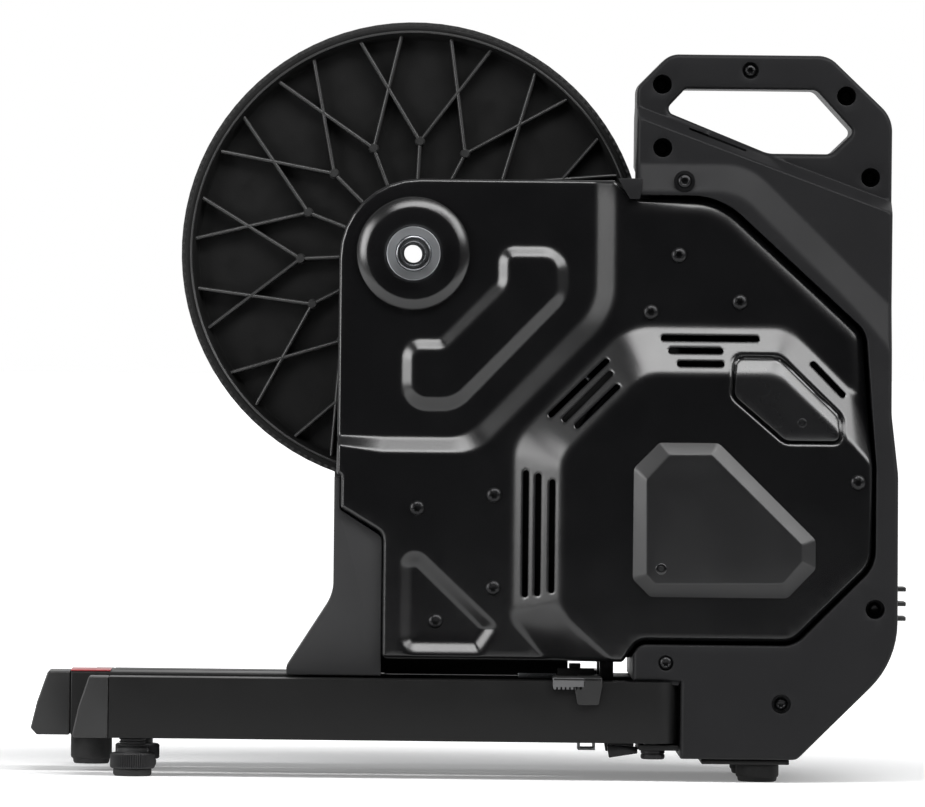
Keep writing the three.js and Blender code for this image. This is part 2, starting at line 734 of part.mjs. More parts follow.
function rampSolid(face, far) {
  const run = face.into.clone().multiplyScalar(shellBox.height * 1.2);
  const outline = [face.from, face.to, face.to.clone().add(run), face.from.clone().add(run)];
  return loft(outline, outline, (point) => -rampReach(face, point), far);
}

// The shells' outer faces, with every reach drawn in by one inset.
function shellFaces(inset) {
  const toMid = shell.midReach - shell.gripReach;
  const toBand = shell.bandReach - shell.midReach;
  const toFoot = shell.footReach - shell.bandReach;
  return {
    grip: shell.gripReach - inset,
    mid: shell.midReach - inset,
    band: shell.bandReach - inset,
    foot: shell.footReach - inset,
    crease: ramp(creaseShares, shell.gripReach - inset, toMid / shell.creaseWidth),
    bandTop: ramp(bandTopShares, shell.midReach - inset, toBand / shell.bandWidth),
    bandSide: ramp(bandSideShares, shell.midReach - inset, toBand / shell.bandWidth),
    flare: ramp(flareShares, shell.bandReach - inset, toFoot / shell.flareHeight),
  };
}

function shellReach(point) {
  const faces = shellFaces(0);
  const low = Math.min(Math.max(faces.band, rampReach(faces.flare, point)), faces.foot);
  const band = Math.min(rampReach(faces.bandTop, point), rampReach(faces.bandSide, point), low);
  return Math.max(faces.grip, Math.min(rampReach(faces.crease, point), Math.max(faces.mid, band)));
}

// Everything behind the shells' outer faces, over a wide rectangle.
function shellDepth(inset, far) {
  const faces = shellFaces(inset);
  const corners = [
    [guard.front - overrun, -overrun],
    [shellRear + overrun, -overrun],
    [shellRear + overrun, shellTop + overrun],
    [guard.front - overrun, shellTop + overrun],
  ].map(([x, z]) => new THREE.Vector2(x, z));
  const block = (reach) => plateAcross(corners, -reach, far);
  const low = block(faces.band).add(rampSolid(faces.flare, far)).intersect(block(faces.foot));
  const band = low.intersect(rampSolid(faces.bandTop, far)).intersect(rampSolid(faces.bandSide, far));
  return block(faces.mid).add(band).intersect(rampSolid(faces.crease, far)).add(block(faces.grip));
}

const notchX = cross.rear + shell.crossGap;
const notchZ = lugLow - shell.lugGap;
const notchPoints = [[notchX, shell.bottom], [notchX, notchZ], [shell.left, notchZ]];
const shellCorners = [...cornersIn(shellShares, shellBox), ...cornersAt(notchPoints, shell.notchRadius)];
const openingCorners = cornersIn(openingShares, {
  left: shell.left + handle.frontBar,
  bottom: shellTop - handle.topBar - handle.height,
  length: shellBox.length - handle.frontBar - handle.rearBar,
  height: handle.height,
});

function openingCutter(inset) {
  return plateAcross(rounded(offset(openingCorners, inset)), -shell.footReach - overrun, overrun);
}

// Screw bosses inside a shell and the holes over the screw heads.
function screwPlaces() {
  return shellScrewShares.map(([x, z]) =>
    new THREE.Vector2(shell.left + x * shellBox.length, shell.bottom + z * shellBox.height));
}

function screwBosses() {
  return screwPlaces().map((place) => {
    const near = -shellReach(place) + shell.wall / 2;
    return rodY(shell.screwBoss, [near, -fit / 2], place.x, place.y, shell.screwSides);
  });
}

function screwHoles() {
  return screwPlaces().map((place) => {
    const reach = shellReach(place);
    return rodY(shell.screwHole, [-reach - overrun, shell.screwDepth - reach], place.x, place.y, shell.screwSides);
  });
}

// Cuts that let the beam, the pivot lugs and the rear plate's riser into both shells.
function shellPassages() {
  const half = beam.width / 2 + fit;
  const riserHalf = riserWidth / 2 + fit;
  const boltTop = lugTop + pivot.headHeight + 2 * fit;
  return [
    box([shell.left - overrun, beamRear + overrun], [-half, overrun], [beam.bottom - fit, beam.top + fit]),
    box([crossFront - fit, cross.rear + fit], [shell.wall - shell.footReach, overrun], [leg.top, boltTop]),
    box([riserFront - fit, riserRear + fit], [-riserHalf, overrun], [0, beam.bottom]),
  ];
}

function leftShell() {
  const far = -fit / 2;
  const outer = plateAcross(rounded(shellCorners), -shell.footReach - overrun, far).intersect(shellDepth(0, far));
  const cavity = plateAcross(rounded(offset(shellCorners, -shell.wall)), -shell.footReach, overrun)
    .intersect(shellDepth(shell.wall, overrun));
  const cutOut = (gap) => plateAcross(rounded(offset(panelCorners, gap)), -shell.footReach - overrun, overrun);
  const hollow = cutBy(cavity, [cutOut(shell.gap + shell.wall), openingCutter(shell.wall)]);
  const walls = cutBy(outer, [cutOut(shell.gap), openingCutter(0), hollow]);
  const bosses = joined(screwBosses()).intersect(outer);
  return cutBy(walls.add(bosses).add(cornerTab()), [...screwHoles(), ...shellPassages()]);
}

// The small hooked tab that laps the panel's upper corner
function cornerTab() {
  const top = panelTop;
  const near = -panel.reach - fit - tab.thickness;
  const left = shell.left - tab.overlap + overrun / 4;
  const outline = [
    [left, top + fit * 4],
    [shell.left + shell.wall, top + fit * 4],
    [shell.left + shell.wall, top - tab.height + overrun],
    [shell.left + overrun / 4, top - tab.height],
    [left + tab.taper, top - tab.height],
  ].map(([x, z]) => new THREE.Vector2(x, z));
  return plateAcross(outline, near, -panel.reach - fit);
}

// The belt guard, a wing of the drive side's shell beside the big pulley, up to a rear edge.
function guardPlate(inset, rear, far) {
  const points = [
    [rear, axleZ + guard.rise],
    [guard.front + inset, axleZ + guard.rise],
    [guard.front + inset, guard.run + inset],
    [guard.kneeX + inset, guard.kneeZ + inset],
    [guard.backX + inset, guard.backZ + inset],
    [guard.backX + inset, panelBox.bottom + inset],
    [rear, panelBox.bottom + inset],
  ].map(([x, z]) => new THREE.Vector2(x, z));
  return plateAcross(points, -shell.footReach - overrun, far);
}

function guardDepth(inset, far) {
  const reach = shell.guardReach - inset;
  const from = new THREE.Vector2(guard.start, shellTop + overrun);
  const face = { from, to: from.clone().setY(-overrun), reach, slope: shell.guardSlopeShare };
  const run = shellRear + overrun * 2 - guard.start;
  const outline = [face.from, face.to, face.to.clone().setX(face.to.x + run), face.from.clone().setX(face.from.x + run)];
  const slope = loft(outline, outline, (point) => -(reach + face.slope * (point.x - from.x)), far);
  const flat = [
    [guard.front - overrun, -overrun],
    [from.x + run, -overrun],
    [from.x + run, from.y],
    [guard.front - overrun, from.y],
  ].map(([x, z]) => new THREE.Vector2(x, z));
  return slope.add(plateAcross(flat, -reach, far));
}

function rightShell() {
  const far = -fit / 2;
  const inward = -plateFar - fit;
  const pulleyRound = rodY(
    pulley.radius + belt.ease + belt.thickness + guard.reachPast,
    [-shell.footReach - overrun, inward + overrun],
    0,
    axleZ,
    pulley.sides,
  );
  const form = (inset, rimFar, wingFar) =>
    plateAcross(rounded(offset(shellCorners, -inset)), -shell.footReach - overrun, rimFar)
      .add(guardPlate(inset, shell.left + overrun, rimFar))
      .add(guardPlate(inset, shell.left - fit, wingFar))
      .intersect(shellDepth(inset, wingFar))
      .intersect(guardDepth(inset, wingFar));
  const hollow = form(shell.wall, overrun, inward + overrun).subtract(openingCutter(shell.wall));
  const walls = cutBy(form(0, far, inward), [openingCutter(0), hollow]);
  const bosses = joined(screwBosses()).intersect(form(0, far, inward));
  const socketHole = rodX(
    socket.radius + fit,
    [shellRear - socket.inside, shellRear + overrun],
    -socket.y,
    socket.z,
    socket.sides,
  );
  return cutBy(walls.add(bosses), [pulleyRound, socketHole, ...screwHoles(), ...shellPassages()]);
}

function cableGuide() {
  const wallX = shellRear + fit;
  const half = guide.width / 2;
  const top = guide.bottom + guide.height;
  const back = box([wallX, wallX + guide.plate], [-half, half], [guide.bottom, top]);
  const step = (guide.height - guide.fin) / (guide.fins - 1);
  const fins = Array.from({ length: guide.fins }, (_, k) => {
    const low = guide.bottom + k * step;
    return box([wallX, wallX + guide.plate + guide.finLength], [-half, half], [low, low + guide.fin]);
  });
  return joined([back, ...fins]);
}

function powerSocket() {
  const wallX = shellRear;
  const barrel = rodX(socket.radius, [wallX - socket.inside, wallX + socket.proud], socket.y, socket.z, socket.sides);
  const mouth = [wallX + socket.proud - socket.holeDepth, wallX + overrun];
  return barrel.subtract(rodX(socket.hole, mouth, socket.y, socket.z, socket.sides));
}

// Covers on the flywheel boss

function badgeCover() {
  const foot = -bossReach - fit;
  const face = foot - badge.rise;
  const corners = cornersIn(badgeShares, onBoss(badge));
  const outer = frustum(rounded(offset(corners, -badge.slope)), rounded(corners), face, foot);
  const inner = frustum(
    rounded(offset(corners, -badge.slope - badge.wall)),
    rounded(offset(corners, -badge.wall)),
    face + badge.wall,
    foot + overrun / 100,
  );
  return outer.subtract(inner);
}

function inlayCover() {
  const outline = rounded(cornersIn(inlayShares, onBoss(inlay)));
  const area = plateAcross(outline, -bossReach - overrun, -panel.reach);
  const skin = bossRelief(-inlay.thickness - fit).subtract(bossRelief(-fit));
  return skin.intersect(area);
}

// Wheel axle

function hubAxle() {
  return ring(axle.bore, axle.radius, [fit - leftSeat, rightSeat - fit], 0, axleZ, axle.sides);
}

function bossRing() {
  const foot = -(panel.reach - panel.recessDepth) - fit;
  const crest = foot - axleBoss.rise;
  const profile = [
    [axle.radius + fit, foot],
    [axle.radius + fit, -dishReach],
    [axleBoss.mouth, -dishReach],
    [(axleBoss.mouth + axleBoss.shoulder) / 2, crest],
    [axleBoss.shoulder, -dishReach],
    [axleBoss.radius - axleBoss.dish, foot - axleBoss.rim],
    [axleBoss.radius, foot - axleBoss.dish],
    [axleBoss.radius, foot],
  ];
  return turned(profile, 0, axleZ, axleBoss.sides);
}

// A dropout cap: nose outside, shank inside the hollow axle. The near one also carries a washer.
function dropoutCap(side, seat, washer) {
  const face = axle.overFaces / 2;
  const profile = [
    [endCap.bore, seat - endCap.shankLength],
    [endCap.shank, seat - endCap.shankLength],
    [endCap.shank, seat],
    [washer, seat],
    [washer, seat + endCap.washerThickness],
    [endCap.nose, seat + endCap.washerThickness],
    [endCap.nose, face],
    [endCap.bore, face],
  ].map(([radius, y]) => [radius, y * side]);
  return turned(side > 0 ? profile : profile.toReversed(), 0, axleZ, endCap.sides);
}

function hubBearingAt(near) {
  const ys = [near, near + hubBearing.width];
  return ring(axle.radius + fit, hubBearing.outer, ys, 0, axleZ, hubBearing.sides);
}

// Big pulley, with forked ribs on its near face

function pulleyRibs() {
  const webNear = pulley.near + pulley.webInset;
  const ys = [webNear - pulley.ribDepth, webNear + pulley.web / 2];
  const rimInner = pulley.radius - pulley.rim / 2;
  const ribs = [];
  for (let k = 0; k < pulley.nodes; k++) {
    const angle = 90 - pulley.nodeTurn + (360 * k) / pulley.nodes;
    const [node] = arcPoints(0, axleZ, pulley.nodeRadius, angle, angle, 1);
    const [root] = arcPoints(0, axleZ, pulley.hub - pulley.rib, angle, angle, 1);
    const ends = [angle - pulley.fork, angle + pulley.fork].map(
      (turn) => arcPoints(0, axleZ, rimInner, turn, turn, 1)[0],
    );
    [root, ...ends].forEach((end) => ribs.push(bar(node, end, pulley.rib, ys)));
    ribs.push(rodY(pulley.rib, ys, node.x, node.y, 8));
  }
  return ribs;
}

// A straight upright bar between two points.
function bar(from, to, width, ys) {
  const along = to.clone().sub(from).normalize();
  const side = new THREE.Vector2(-along.y, along.x).multiplyScalar(width / 2);
  const outline = [from.clone().add(side), from.clone().sub(side), to.clone().sub(side), to.clone().add(side)];
  return plateAcross(outline, ys[0], ys[1]);
}

function drivePulley() {
  const webNear = pulley.near + pulley.webInset;
  const webFar = webNear + pulley.web;
  const rimInner = pulley.radius - pulley.rim;
  const bore = hubBearing.outer + fit;
  const profile = [
    [bore, pulley.hubNear],
    [pulley.hub, pulley.hubNear],
    [pulley.hub, webNear],
    [rimInner, webNear],
    [rimInner, pulley.near],
    [pulley.radius, pulley.near],
    [pulley.radius, pulleyFar],
    [rimInner, pulleyFar],
    [rimInner, webFar],
    [pulley.hub, webFar],
    [pulley.hub, pulley.hubFar],
    [bore, pulley.hubFar],
  ];
  const wheel = turned(profile, 0, axleZ, pulley.sides);
  return joined([wheel, ...pulleyRibs()]);
}

// Belt path between the two pulleys

function beltPath(bigRadius, smallRadius) {
  const centre = new THREE.Vector2(flywheel.x, flywheelZ - axleZ);
  const tilt = THREE.MathUtils.radToDeg(Math.atan2(centre.y, centre.x));
  const spread = THREE.MathUtils.radToDeg(Math.acos((bigRadius - smallRadius) / centre.length()));
  return [
    ...arcPoints(0, axleZ, bigRadius, tilt + spread, tilt + 360 - spread, belt.sides),
    ...arcPoints(flywheel.x, flywheelZ, smallRadius, tilt - spread, tilt + spread, belt.smallSides),
  ];
}

const beltInset = (pulley.width - belt.width) / 2;

function driveBelt() {
  const ys = [pulley.near + beltInset, pulleyFar - beltInset];
  const inner = beltPath(pulley.radius + belt.ease, smallPulley.radius + belt.ease);
  const outer = beltPath(
    pulley.radius + belt.ease + belt.thickness,
    smallPulley.radius + belt.ease + belt.thickness,
  );
  return plateAcross(outer, ys[0], ys[1]).subtract(plateAcross(inner, ys[0] - overrun, ys[1] + overrun));
}

// Centre of the idler under the belt's lower run, with the run's direction.
function idlerPlace() {
  const path = beltPath(pulley.radius + belt.ease + belt.thickness, smallPulley.radius + belt.ease + belt.thickness);
  const start = path[belt.sides];
  const end = path[belt.sides + 1];
  const along = end.clone().sub(start);
  const below = new THREE.Vector2(along.y, -along.x).normalize();
  return start.clone().addScaledVector(along, idler.share).addScaledVector(below, idler.radius + fit);
}

function idlerRoller() {
  const centre = idlerPlace();
  const ys = [pulley.near + idler.inset, pulleyFar - idler.inset];
  return ring(idler.pin + fit, idler.radius, ys, centre.x, centre.y, idler.sides);
}

function tensionerArm() {
  const centre = idlerPlace();
  const near = plateFar + fit;
  const far = near + idler.arm;
  const half = idler.armWidth / 2;
  const arm = box([centre.x - half, centre.x - half + idler.armLength], [near, far], [centre.y - half, centre.y + half]);
  return arm.add(rodY(idler.pin, [near, pulleyFar], centre.x, centre.y, idler.sides));
}

// Freehub and sprockets

function freehubBody() {
  const outline = Array.from({ length: freehub.splines * 4 }, (_, k) => {
    const radius = k % 4 < 2 ? freehub.radius : freehub.radius - freehub.groove;
    const angle = (k / (freehub.splines * 4)) * 360;
    return arcPoints(0, axleZ, radius, angle, angle, 1)[0];
  });
  const body = plateAcross(outline, freehub.near, freehub.far);
  const bore = rodY(freehub.bore, [freehub.near - overrun, freehub.far + overrun], 0, axleZ, axle.sides);
  return body.subtract(bore);
}

function sprocketNear(index) {
  return cassette.near + index * cassette.pitch;
}

// One toothed plate; its pitch radius follows from the chain's pitch.
function sprocket(index) {
  const teeth = cassetteTeeth[index];
  const pitchRadius = cassette.chainPitch / (2 * Math.sin(Math.PI / teeth));
  const root = pitchRadius - cassette.toothRoot;
  const outline = [];
  for (let tooth = 0; tooth < teeth; tooth++) {
    toothShares.forEach((share, corner) => {
      const radius = corner === 1 ? pitchRadius + cassette.toothTip : root;
      const angle = (360 * (tooth + share)) / teeth;
      outline.push(arcPoints(0, axleZ, radius, angle, angle, 1)[0]);
    });
  }
  const near = sprocketNear(index);
  return plateAcross(outline, near, near + cassette.plate);
}

// Sprockets from first to last on one carrier, bored to slide over the freehub's splines.
function sprocketGroup(first, last) {
  const plates = [];
  for (let index = first; index <= last; index++) plates.push(sprocket(index));
  const ys = [sprocketNear(first), sprocketNear(last) + cassette.plate];
  const carrier = last > first ? [rodY(cassette.carrier, ys, 0, axleZ, 24)] : [];
  const bore = rodY(freehub.radius + fit, [ys[0] - overrun, ys[1] + overrun], 0, axleZ, 24);
  return joined([...plates, ...carrier]).subtract(bore);
}

function cassetteLockring() {
  const near = sprocketNear(cassetteTeeth.length - 1) + cassette.plate + fit;
  return ring(lockring.bore, lockring.radius, [near, near + lockring.thickness], 0, axleZ, lockring.sides);
}

// Flywheel group

function flywheelWheel() {
  const near = flywheelNear;
  const far = near + flywheel.width;
  const webNear = near + (flywheel.width - flywheel.web) / 2;
  const webFar = webNear + flywheel.web;
  const rimInner = flywheel.radius - flywheel.rim;
  const profile = [
    [flywheel.bore, near],
    [flywheel.hub, near],
    [flywheel.hub, webNear],
    [rimInner, webNear],
    [rimInner, near],
    [flywheel.radius, near],
    [flywheel.radius, far],
    [rimInner, far],
    [rimInner, webFar],
    [flywheel.hub, webFar],
    [flywheel.hub, near + flywheel.hubLength],
    [flywheel.bore, near + flywheel.hubLength],
  ];
  return turned(profile, flywheel.x, flywheelZ, flywheel.sides);
}

function flywheelShaft() {
  const ys = [-bossReach - shaft.nearInset, pulleyFar + shaft.farLength];
  return rodY(shaft.radius, ys, flywheel.x, flywheelZ, shaft.sides);
}

function shaftBearingAt(near) {
  const ys = [near, near + shaftBearing.width];
  return ring(shaft.radius + fit, shaftBearing.outer, ys, flywheel.x, flywheelZ, shaftBearing.sides);
}

function flywheelPulley() {
  const near = pulley.near;
  const lip = smallPulley.flangeWidth;
  const profile = [
    [shaft.radius + fit, near],
    [smallPulley.flange, near],
    [smallPulley.flange, near + lip],
    [smallPulley.radius, near + lip],
    [smallPulley.radius, pulleyFar - lip],
    [smallPulley.flange, pulleyFar - lip],
    [smallPulley.flange, pulleyFar],
    [shaft.radius + fit, pulleyFar],
  ];
  return turned(profile, flywheel.x, flywheelZ, smallPulley.sides);
}

// Brake

function magnetCarrier() {
  const outline = [
    ...arcPoints(flywheel.x, flywheelZ, brakeOuter, brake.start, brake.end, brake.steps),
    ...arcPoints(flywheel.x, flywheelZ, brakeInner, brake.end, brake.start, brake.steps),
  ];
  const arc = plateAcross(outline, -brake.near, -brake.far);
  const [hinge] = arcPoints(flywheel.x, flywheelZ, brake.hingeRadius, brake.hinge, brake.hinge, 1);
  return arc.add(rodY(brake.pin, [-brake.near, plateNear - fit], hinge.x, hinge.y, 16));
}

// Points along the brake motor's axis, as distances from the flywheel's centre.
function radialRod(radius, from, to, sides) {
  const geometry = new THREE.CylinderGeometry(radius, radius, to - from, sides);
  const turn = THREE.MathUtils.degToRad(90 - brake.angle);
  geometry.translate(0, (from + to) / 2, 0).rotateX(Math.PI / 2).rotateY(turn);
  return solidOf(geometry.translate(flywheel.x, plateNear - fit - motor.radius, flywheelZ));
}

function brakeMotor() {
  const end = motor.distance + motor.length;
  const body = radialRod(motor.radius, motor.distance, end, motor.sides);
  return body.subtract(radialRod(motor.bore, motor.distance - overrun, end + overrun, screw.sides));
}

function brakeScrew() {
  const start = brakeOuter + screw.gap;
  return radialRod(screw.radius, start, start + screw.length, screw.sides);
}

function circuitBoard() {
  const stand = plateNear - fit - board.stand;
  const { left: front, bottom } = onPanel(board);
  const xs = [front, front + board.length];
  const zs = [bottom, bottom + board.height];
  const sheet = box(xs, [stand - board.thickness, stand], zs);
  const legs = xs.flatMap((x, i) =>
    zs.map((z, j) => {
      const inX = x + board.leg * 2 * (i ? -1 : 1);
      const inZ = z + board.leg * 2 * (j ? -1 : 1);
      return rodY(board.leg, [stand - board.thickness, plateNear - fit], inX, inZ, 8);
    }));
  const chips = [0.25, 0.62].map((share) => {
    const low = bottom + share * board.height - board.chip / 2;
    const left = front + (board.length - board.chip) / 2;
    const near = stand - board.thickness - board.chipHeight;
    return box([left, left + board.chip], [near, stand], [low, low + board.chip]);
  });
  return joined([sheet, ...legs, ...chips]);
}

// Folding leg, drawn on the left side

function legTube() {
  const outer = box([leg.front, leg.pivot], [legNear, legFar], [leg.bottom, leg.top])
    .add(rodZ(leg.width / 2, [leg.bottom, leg.top], leg.pivot, -leg.middle, 32));
  const hollow = box(
    [leg.front - overrun, leg.pivot - leg.block],
    [legNear + leg.wall, legFar - leg.wall],
    [leg.bottom + leg.wall, leg.top - leg.wall],
  );
  const through = [leg.bottom - overrun, leg.top + overrun];
  const bore = rodZ(pivot.radius + fit, through, leg.pivot, -leg.middle, pivot.sides);
  const studHole = rodZ(
    foot.stud + fit,
    [leg.bottom - overrun, leg.bottom + leg.wall + fit],
    foot.x,
    -leg.middle,
    foot.sides,
  );
  return cutBy(outer, [hollow, bore, studHole]);
}

function legFrontCap() {
  const rear = leg.front - fit;
  return tubeCap(legCapShares, legCap.front, rear, leg.bottom, leg.top, [legNear, legFar], leg.wall, legCap.plug);
}

function footPad() {
  return rodZ(foot.pad, [0, foot.padHeight], foot.x, -leg.middle, foot.sides);
}

function footKnob() {
  const low = foot.padHeight + fit;
  const top = low + foot.knobHeight;
  const outline = Array.from({ length: foot.knurls * 2 }, (_, k) => {
    const radius = foot.knob - (k % 2) * foot.knurl;
    const angle = (Math.PI * k) / foot.knurls;
    return new THREE.Vector2(radius * Math.cos(angle), radius * Math.sin(angle));
  });
  const shape = new THREE.ExtrudeGeometry(new THREE.Shape(outline), { depth: top - low, bevelEnabled: false });
  const wheel = solidOf(shape.translate(foot.x, -leg.middle, low));
  return wheel.add(rodZ(foot.stud, [low, low + foot.studHeight], foot.x, -leg.middle, foot.sides));
}

function pivotBolt() {
  const head = rodZ(pivot.head, [lugTop + fit, lugTop + fit + pivot.headHeight], leg.pivot, -leg.middle, 6);
  const cap = rodZ(pivot.cap, [lowLugBottom - fit - pivot.capHeight, lowLugBottom - fit], leg.pivot, -leg.middle, pivot.sides);
  const shank = rodZ(pivot.radius, [lowLugBottom - fit * 2, lugTop + fit * 2], leg.pivot, -leg.middle, pivot.sides);
  return joined([head, cap, shank]);
}

// A lifting lever over the leg: a pad with a skirt and finger tab outside, and an arm towards the catch post.
function lockLever() {
  const low = leg.top + fit;
  const high = low + lever.thickness;
  const outside = legNear - fit;
  const edge = outside - lever.proud;
  const skirtLow = leg.top - lever.skirt;
  const pad = box([lever.front, lever.rear], [edge, -lever.hinge], [low, high]);
  const skirt = box([lever.front, lever.rear], [edge, outside], [skirtLow, high]);
  const arm = box([lever.armFront, lever.armRear], [-lever.hinge - lever.thickness, -lever.armEnd], [low, high]);
  const tabLeft = lever.rear - lever.tabLength;
  const tabOutline = [
    [tabLeft, skirtLow + fit],
    [tabLeft + lever.tabTaper, skirtLow - lever.tabDrop],
    [lever.rear - lever.tabTaper, skirtLow - lever.tabDrop],
    [lever.rear, skirtLow + fit],
  ].map(([x, z]) => new THREE.Vector2(x, z));
  return joined([pad, skirt, arm, plateAcross(tabOutline, edge, outside)]);
}

function catchPost() {
  const top = panelBox.bottom - fit;
  return rodZ(post.radius, [leg.top - post.drop, top], post.x, -post.y, post.sides);
}

// A tilted pawl in front of the lower lug.
function detentLatch() {
  const rear = cross.lugFront - fit;
  const front = rear - latch.length;
  const outline = [
    [rear, latch.top - latch.sink],
    [front, latch.top],
    [front + latch.sink, latch.top - latch.height - latch.sink],
    [rear, latch.top - latch.height + latch.drop / 2],
  ].map(([x, z]) => new THREE.Vector2(x, z));
  return plateAcross(outline, -latch.y - latch.width / 2, -latch.y + latch.width / 2);
}

// Assembly

addPart("base_beam", baseBeam(), "satinPaint");
addPart("beam_front_cap", beamFrontCap(), "darkPlastic");
addPart("beam_accent_strip", accentStrip(), "red");
addPart("beam_front_foot", beamFrontFoot(), "rubber");
addPart("beam_clip", beamClip(), "greyPlastic");
addPart("leg_crossmember", legCrossmember(), "satinPaint");
addPart("rear_foot_plate", rearFootPlate(), "satinPaint");
addPart("left_rear_foot", rearRubberFoot(-rearFoot.y), "rubber");
addPart("right_rear_foot", rearRubberFoot(rearFoot.y), "rubber");

addPart("left_frame_panel", framePanel(), "glossPaint");
addPart("right_frame_plate", framePlate(), "satinPaint");
addPart("front_gusset", frontGusset(), "mouldedPlastic");
addPart("left_shell", leftShell(), "mouldedPlastic");
addPart("badge_cover", badgeCover(), "mouldedPlastic");
addPart("inlay_cover", inlayCover(), "mouldedPlastic");
addPart("cable_guide", cableGuide(), "darkPlastic");
addPart("power_socket", powerSocket(), "blackSteel");

addPart("hub_axle", hubAxle(), "steel");
addPart("axle_boss", bossRing(), "glossPaint");
addPart("left_end_cap", dropoutCap(-1, leftSeat, endCap.washer), "aluminium");
addPart("right_end_cap", dropoutCap(1, rightSeat, endCap.nose), "aluminium");
addPart("left_hub_bearing", hubBearingAt(pulley.hubNear + hubBearing.inset), "steel");
addPart("right_hub_bearing", hubBearingAt(pulley.hubFar - hubBearing.inset - hubBearing.width), "steel");
addPart("drive_pulley", drivePulley(), "darkPlastic");
addPart("drive_belt", driveBelt(), "rubber");
addPart("freehub_body", freehubBody(), "aluminium");
addPart("cassette_large_cluster", sprocketGroup(0, 4), "steel");
addPart("cassette_middle_cluster", sprocketGroup(5, 7), "steel");
addPart("sprocket_13t", sprocketGroup(8, 8), "steel");
addPart("sprocket_12t", sprocketGroup(9, 9), "steel");
addPart("sprocket_11t", sprocketGroup(10, 10), "steel");
addPart("cassette_lockring", cassetteLockring(), "blackSteel");

addPart("flywheel", flywheelWheel(), "castIron");
addPart("flywheel_shaft", flywheelShaft(), "steel");
addPart("left_flywheel_bearing", shaftBearingAt(flywheelNear - shaftBearing.gap - shaftBearing.width), "steel");
addPart("right_flywheel_bearing", shaftBearingAt(plateFar - shaftBearing.lap), "steel");
addPart("flywheel_pulley", flywheelPulley(), "aluminium");
addPart("tensioner_arm", tensionerArm(), "blackSteel");
addPart("idler_roller", idlerRoller(), "darkPlastic");
addPart("magnet_carrier", magnetCarrier(), "aluminium");
addPart("brake_motor", brakeMotor(), "blackSteel");
addPart("brake_screw", brakeScrew(), "steel");
addPart("circuit_board", circuitBoard(), "board");

// Pieces that come in left and right pairs; the right ones are the left ones turned over the mid-plane.
const turnedOver = new THREE.Group();
turnedOver.scale.set(1, -1, 1);
trainer.add(turnedOver);
addPart("right_shell", rightShell(), "mouldedPlastic", turnedOver);
[["left", trainer], ["right", turnedOver]].forEach(([side, group]) => {
  addPart(side + "_leg_tube", legTube(), "satinPaint", group);
  addPart(side + "_leg_cap", legFrontCap(), "darkPlastic", group);
  addPart(side + "_foot_knob", footKnob(), "darkPlastic", group);
  addPart(side + "_foot_pad", footPad(), "rubber", group);
  addPart(side + "_pivot_bolt", pivotBolt(), "blackSteel", group);
  addPart(side + "_lock_lever", lockLever(), "darkPlastic", group);
  addPart(side + "_catch_post", catchPost(), "blackSteel", group);
  addPart(side + "_detent_latch", detentLatch(), "blackSteel", group);
});

// The origin is under the middle of the whole, on the floor.
const rearmost = shellRear + fit + guide.plate + guide.finLength;
trainer.position.x = -(beamCap.front + rearmost) / 2;

export default trainer;
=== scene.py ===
"""Looks of a folded direct drive bike trainer.

Pressed and moulded skins, turned metal and rubber stand in a plain studio.
"""
import json
import logging
import math
from contextlib import contextmanager
from dataclasses import dataclass, field
from enum import Enum
from typing import Callable, Iterator, Sequence

import bmesh
import bpy
import numpy as np
from mathutils import Matrix, Vector
from mathutils.geometry import delaunay_2d_cdt


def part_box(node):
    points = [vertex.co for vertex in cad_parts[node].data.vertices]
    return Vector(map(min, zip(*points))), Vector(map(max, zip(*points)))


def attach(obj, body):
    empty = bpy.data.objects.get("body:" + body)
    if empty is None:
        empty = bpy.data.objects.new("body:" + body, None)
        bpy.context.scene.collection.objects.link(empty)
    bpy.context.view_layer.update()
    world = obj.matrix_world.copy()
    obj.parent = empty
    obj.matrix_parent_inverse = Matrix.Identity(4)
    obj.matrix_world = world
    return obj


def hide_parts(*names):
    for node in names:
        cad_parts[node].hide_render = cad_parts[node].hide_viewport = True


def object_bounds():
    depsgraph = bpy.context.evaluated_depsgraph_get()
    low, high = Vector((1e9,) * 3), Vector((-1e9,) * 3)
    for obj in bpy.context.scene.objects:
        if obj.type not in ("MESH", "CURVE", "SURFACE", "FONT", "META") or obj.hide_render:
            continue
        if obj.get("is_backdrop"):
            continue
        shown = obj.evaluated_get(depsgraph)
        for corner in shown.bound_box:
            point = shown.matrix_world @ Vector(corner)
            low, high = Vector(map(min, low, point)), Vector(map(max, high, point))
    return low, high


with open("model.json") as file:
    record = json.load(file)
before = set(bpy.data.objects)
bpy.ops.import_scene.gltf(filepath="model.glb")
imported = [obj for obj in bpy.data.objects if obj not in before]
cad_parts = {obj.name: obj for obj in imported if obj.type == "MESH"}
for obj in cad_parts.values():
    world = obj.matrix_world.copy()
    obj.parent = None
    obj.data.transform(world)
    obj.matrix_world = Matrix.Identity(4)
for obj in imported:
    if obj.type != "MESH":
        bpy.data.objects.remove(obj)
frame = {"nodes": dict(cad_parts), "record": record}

log = logging.getLogger("trainer")
logging.basicConfig(level=logging.INFO, format="%(message)s")

MM = 0.001
FIT = 0.3  # gap between two pieces that touch, as in the CAD model
CAD_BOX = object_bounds()
AXLE = (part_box("axle_boss")[0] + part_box("axle_boss")[1]) / 2
SHIFT = AXLE.x / MM  # x is measured from the wheel axle here, and from the middle of the whole in the frame
AXLE_SPOT = (0.0, 341.0)  # x and z of the two shafts
FLYWHEEL_SPOT = (190.0, 186.0)

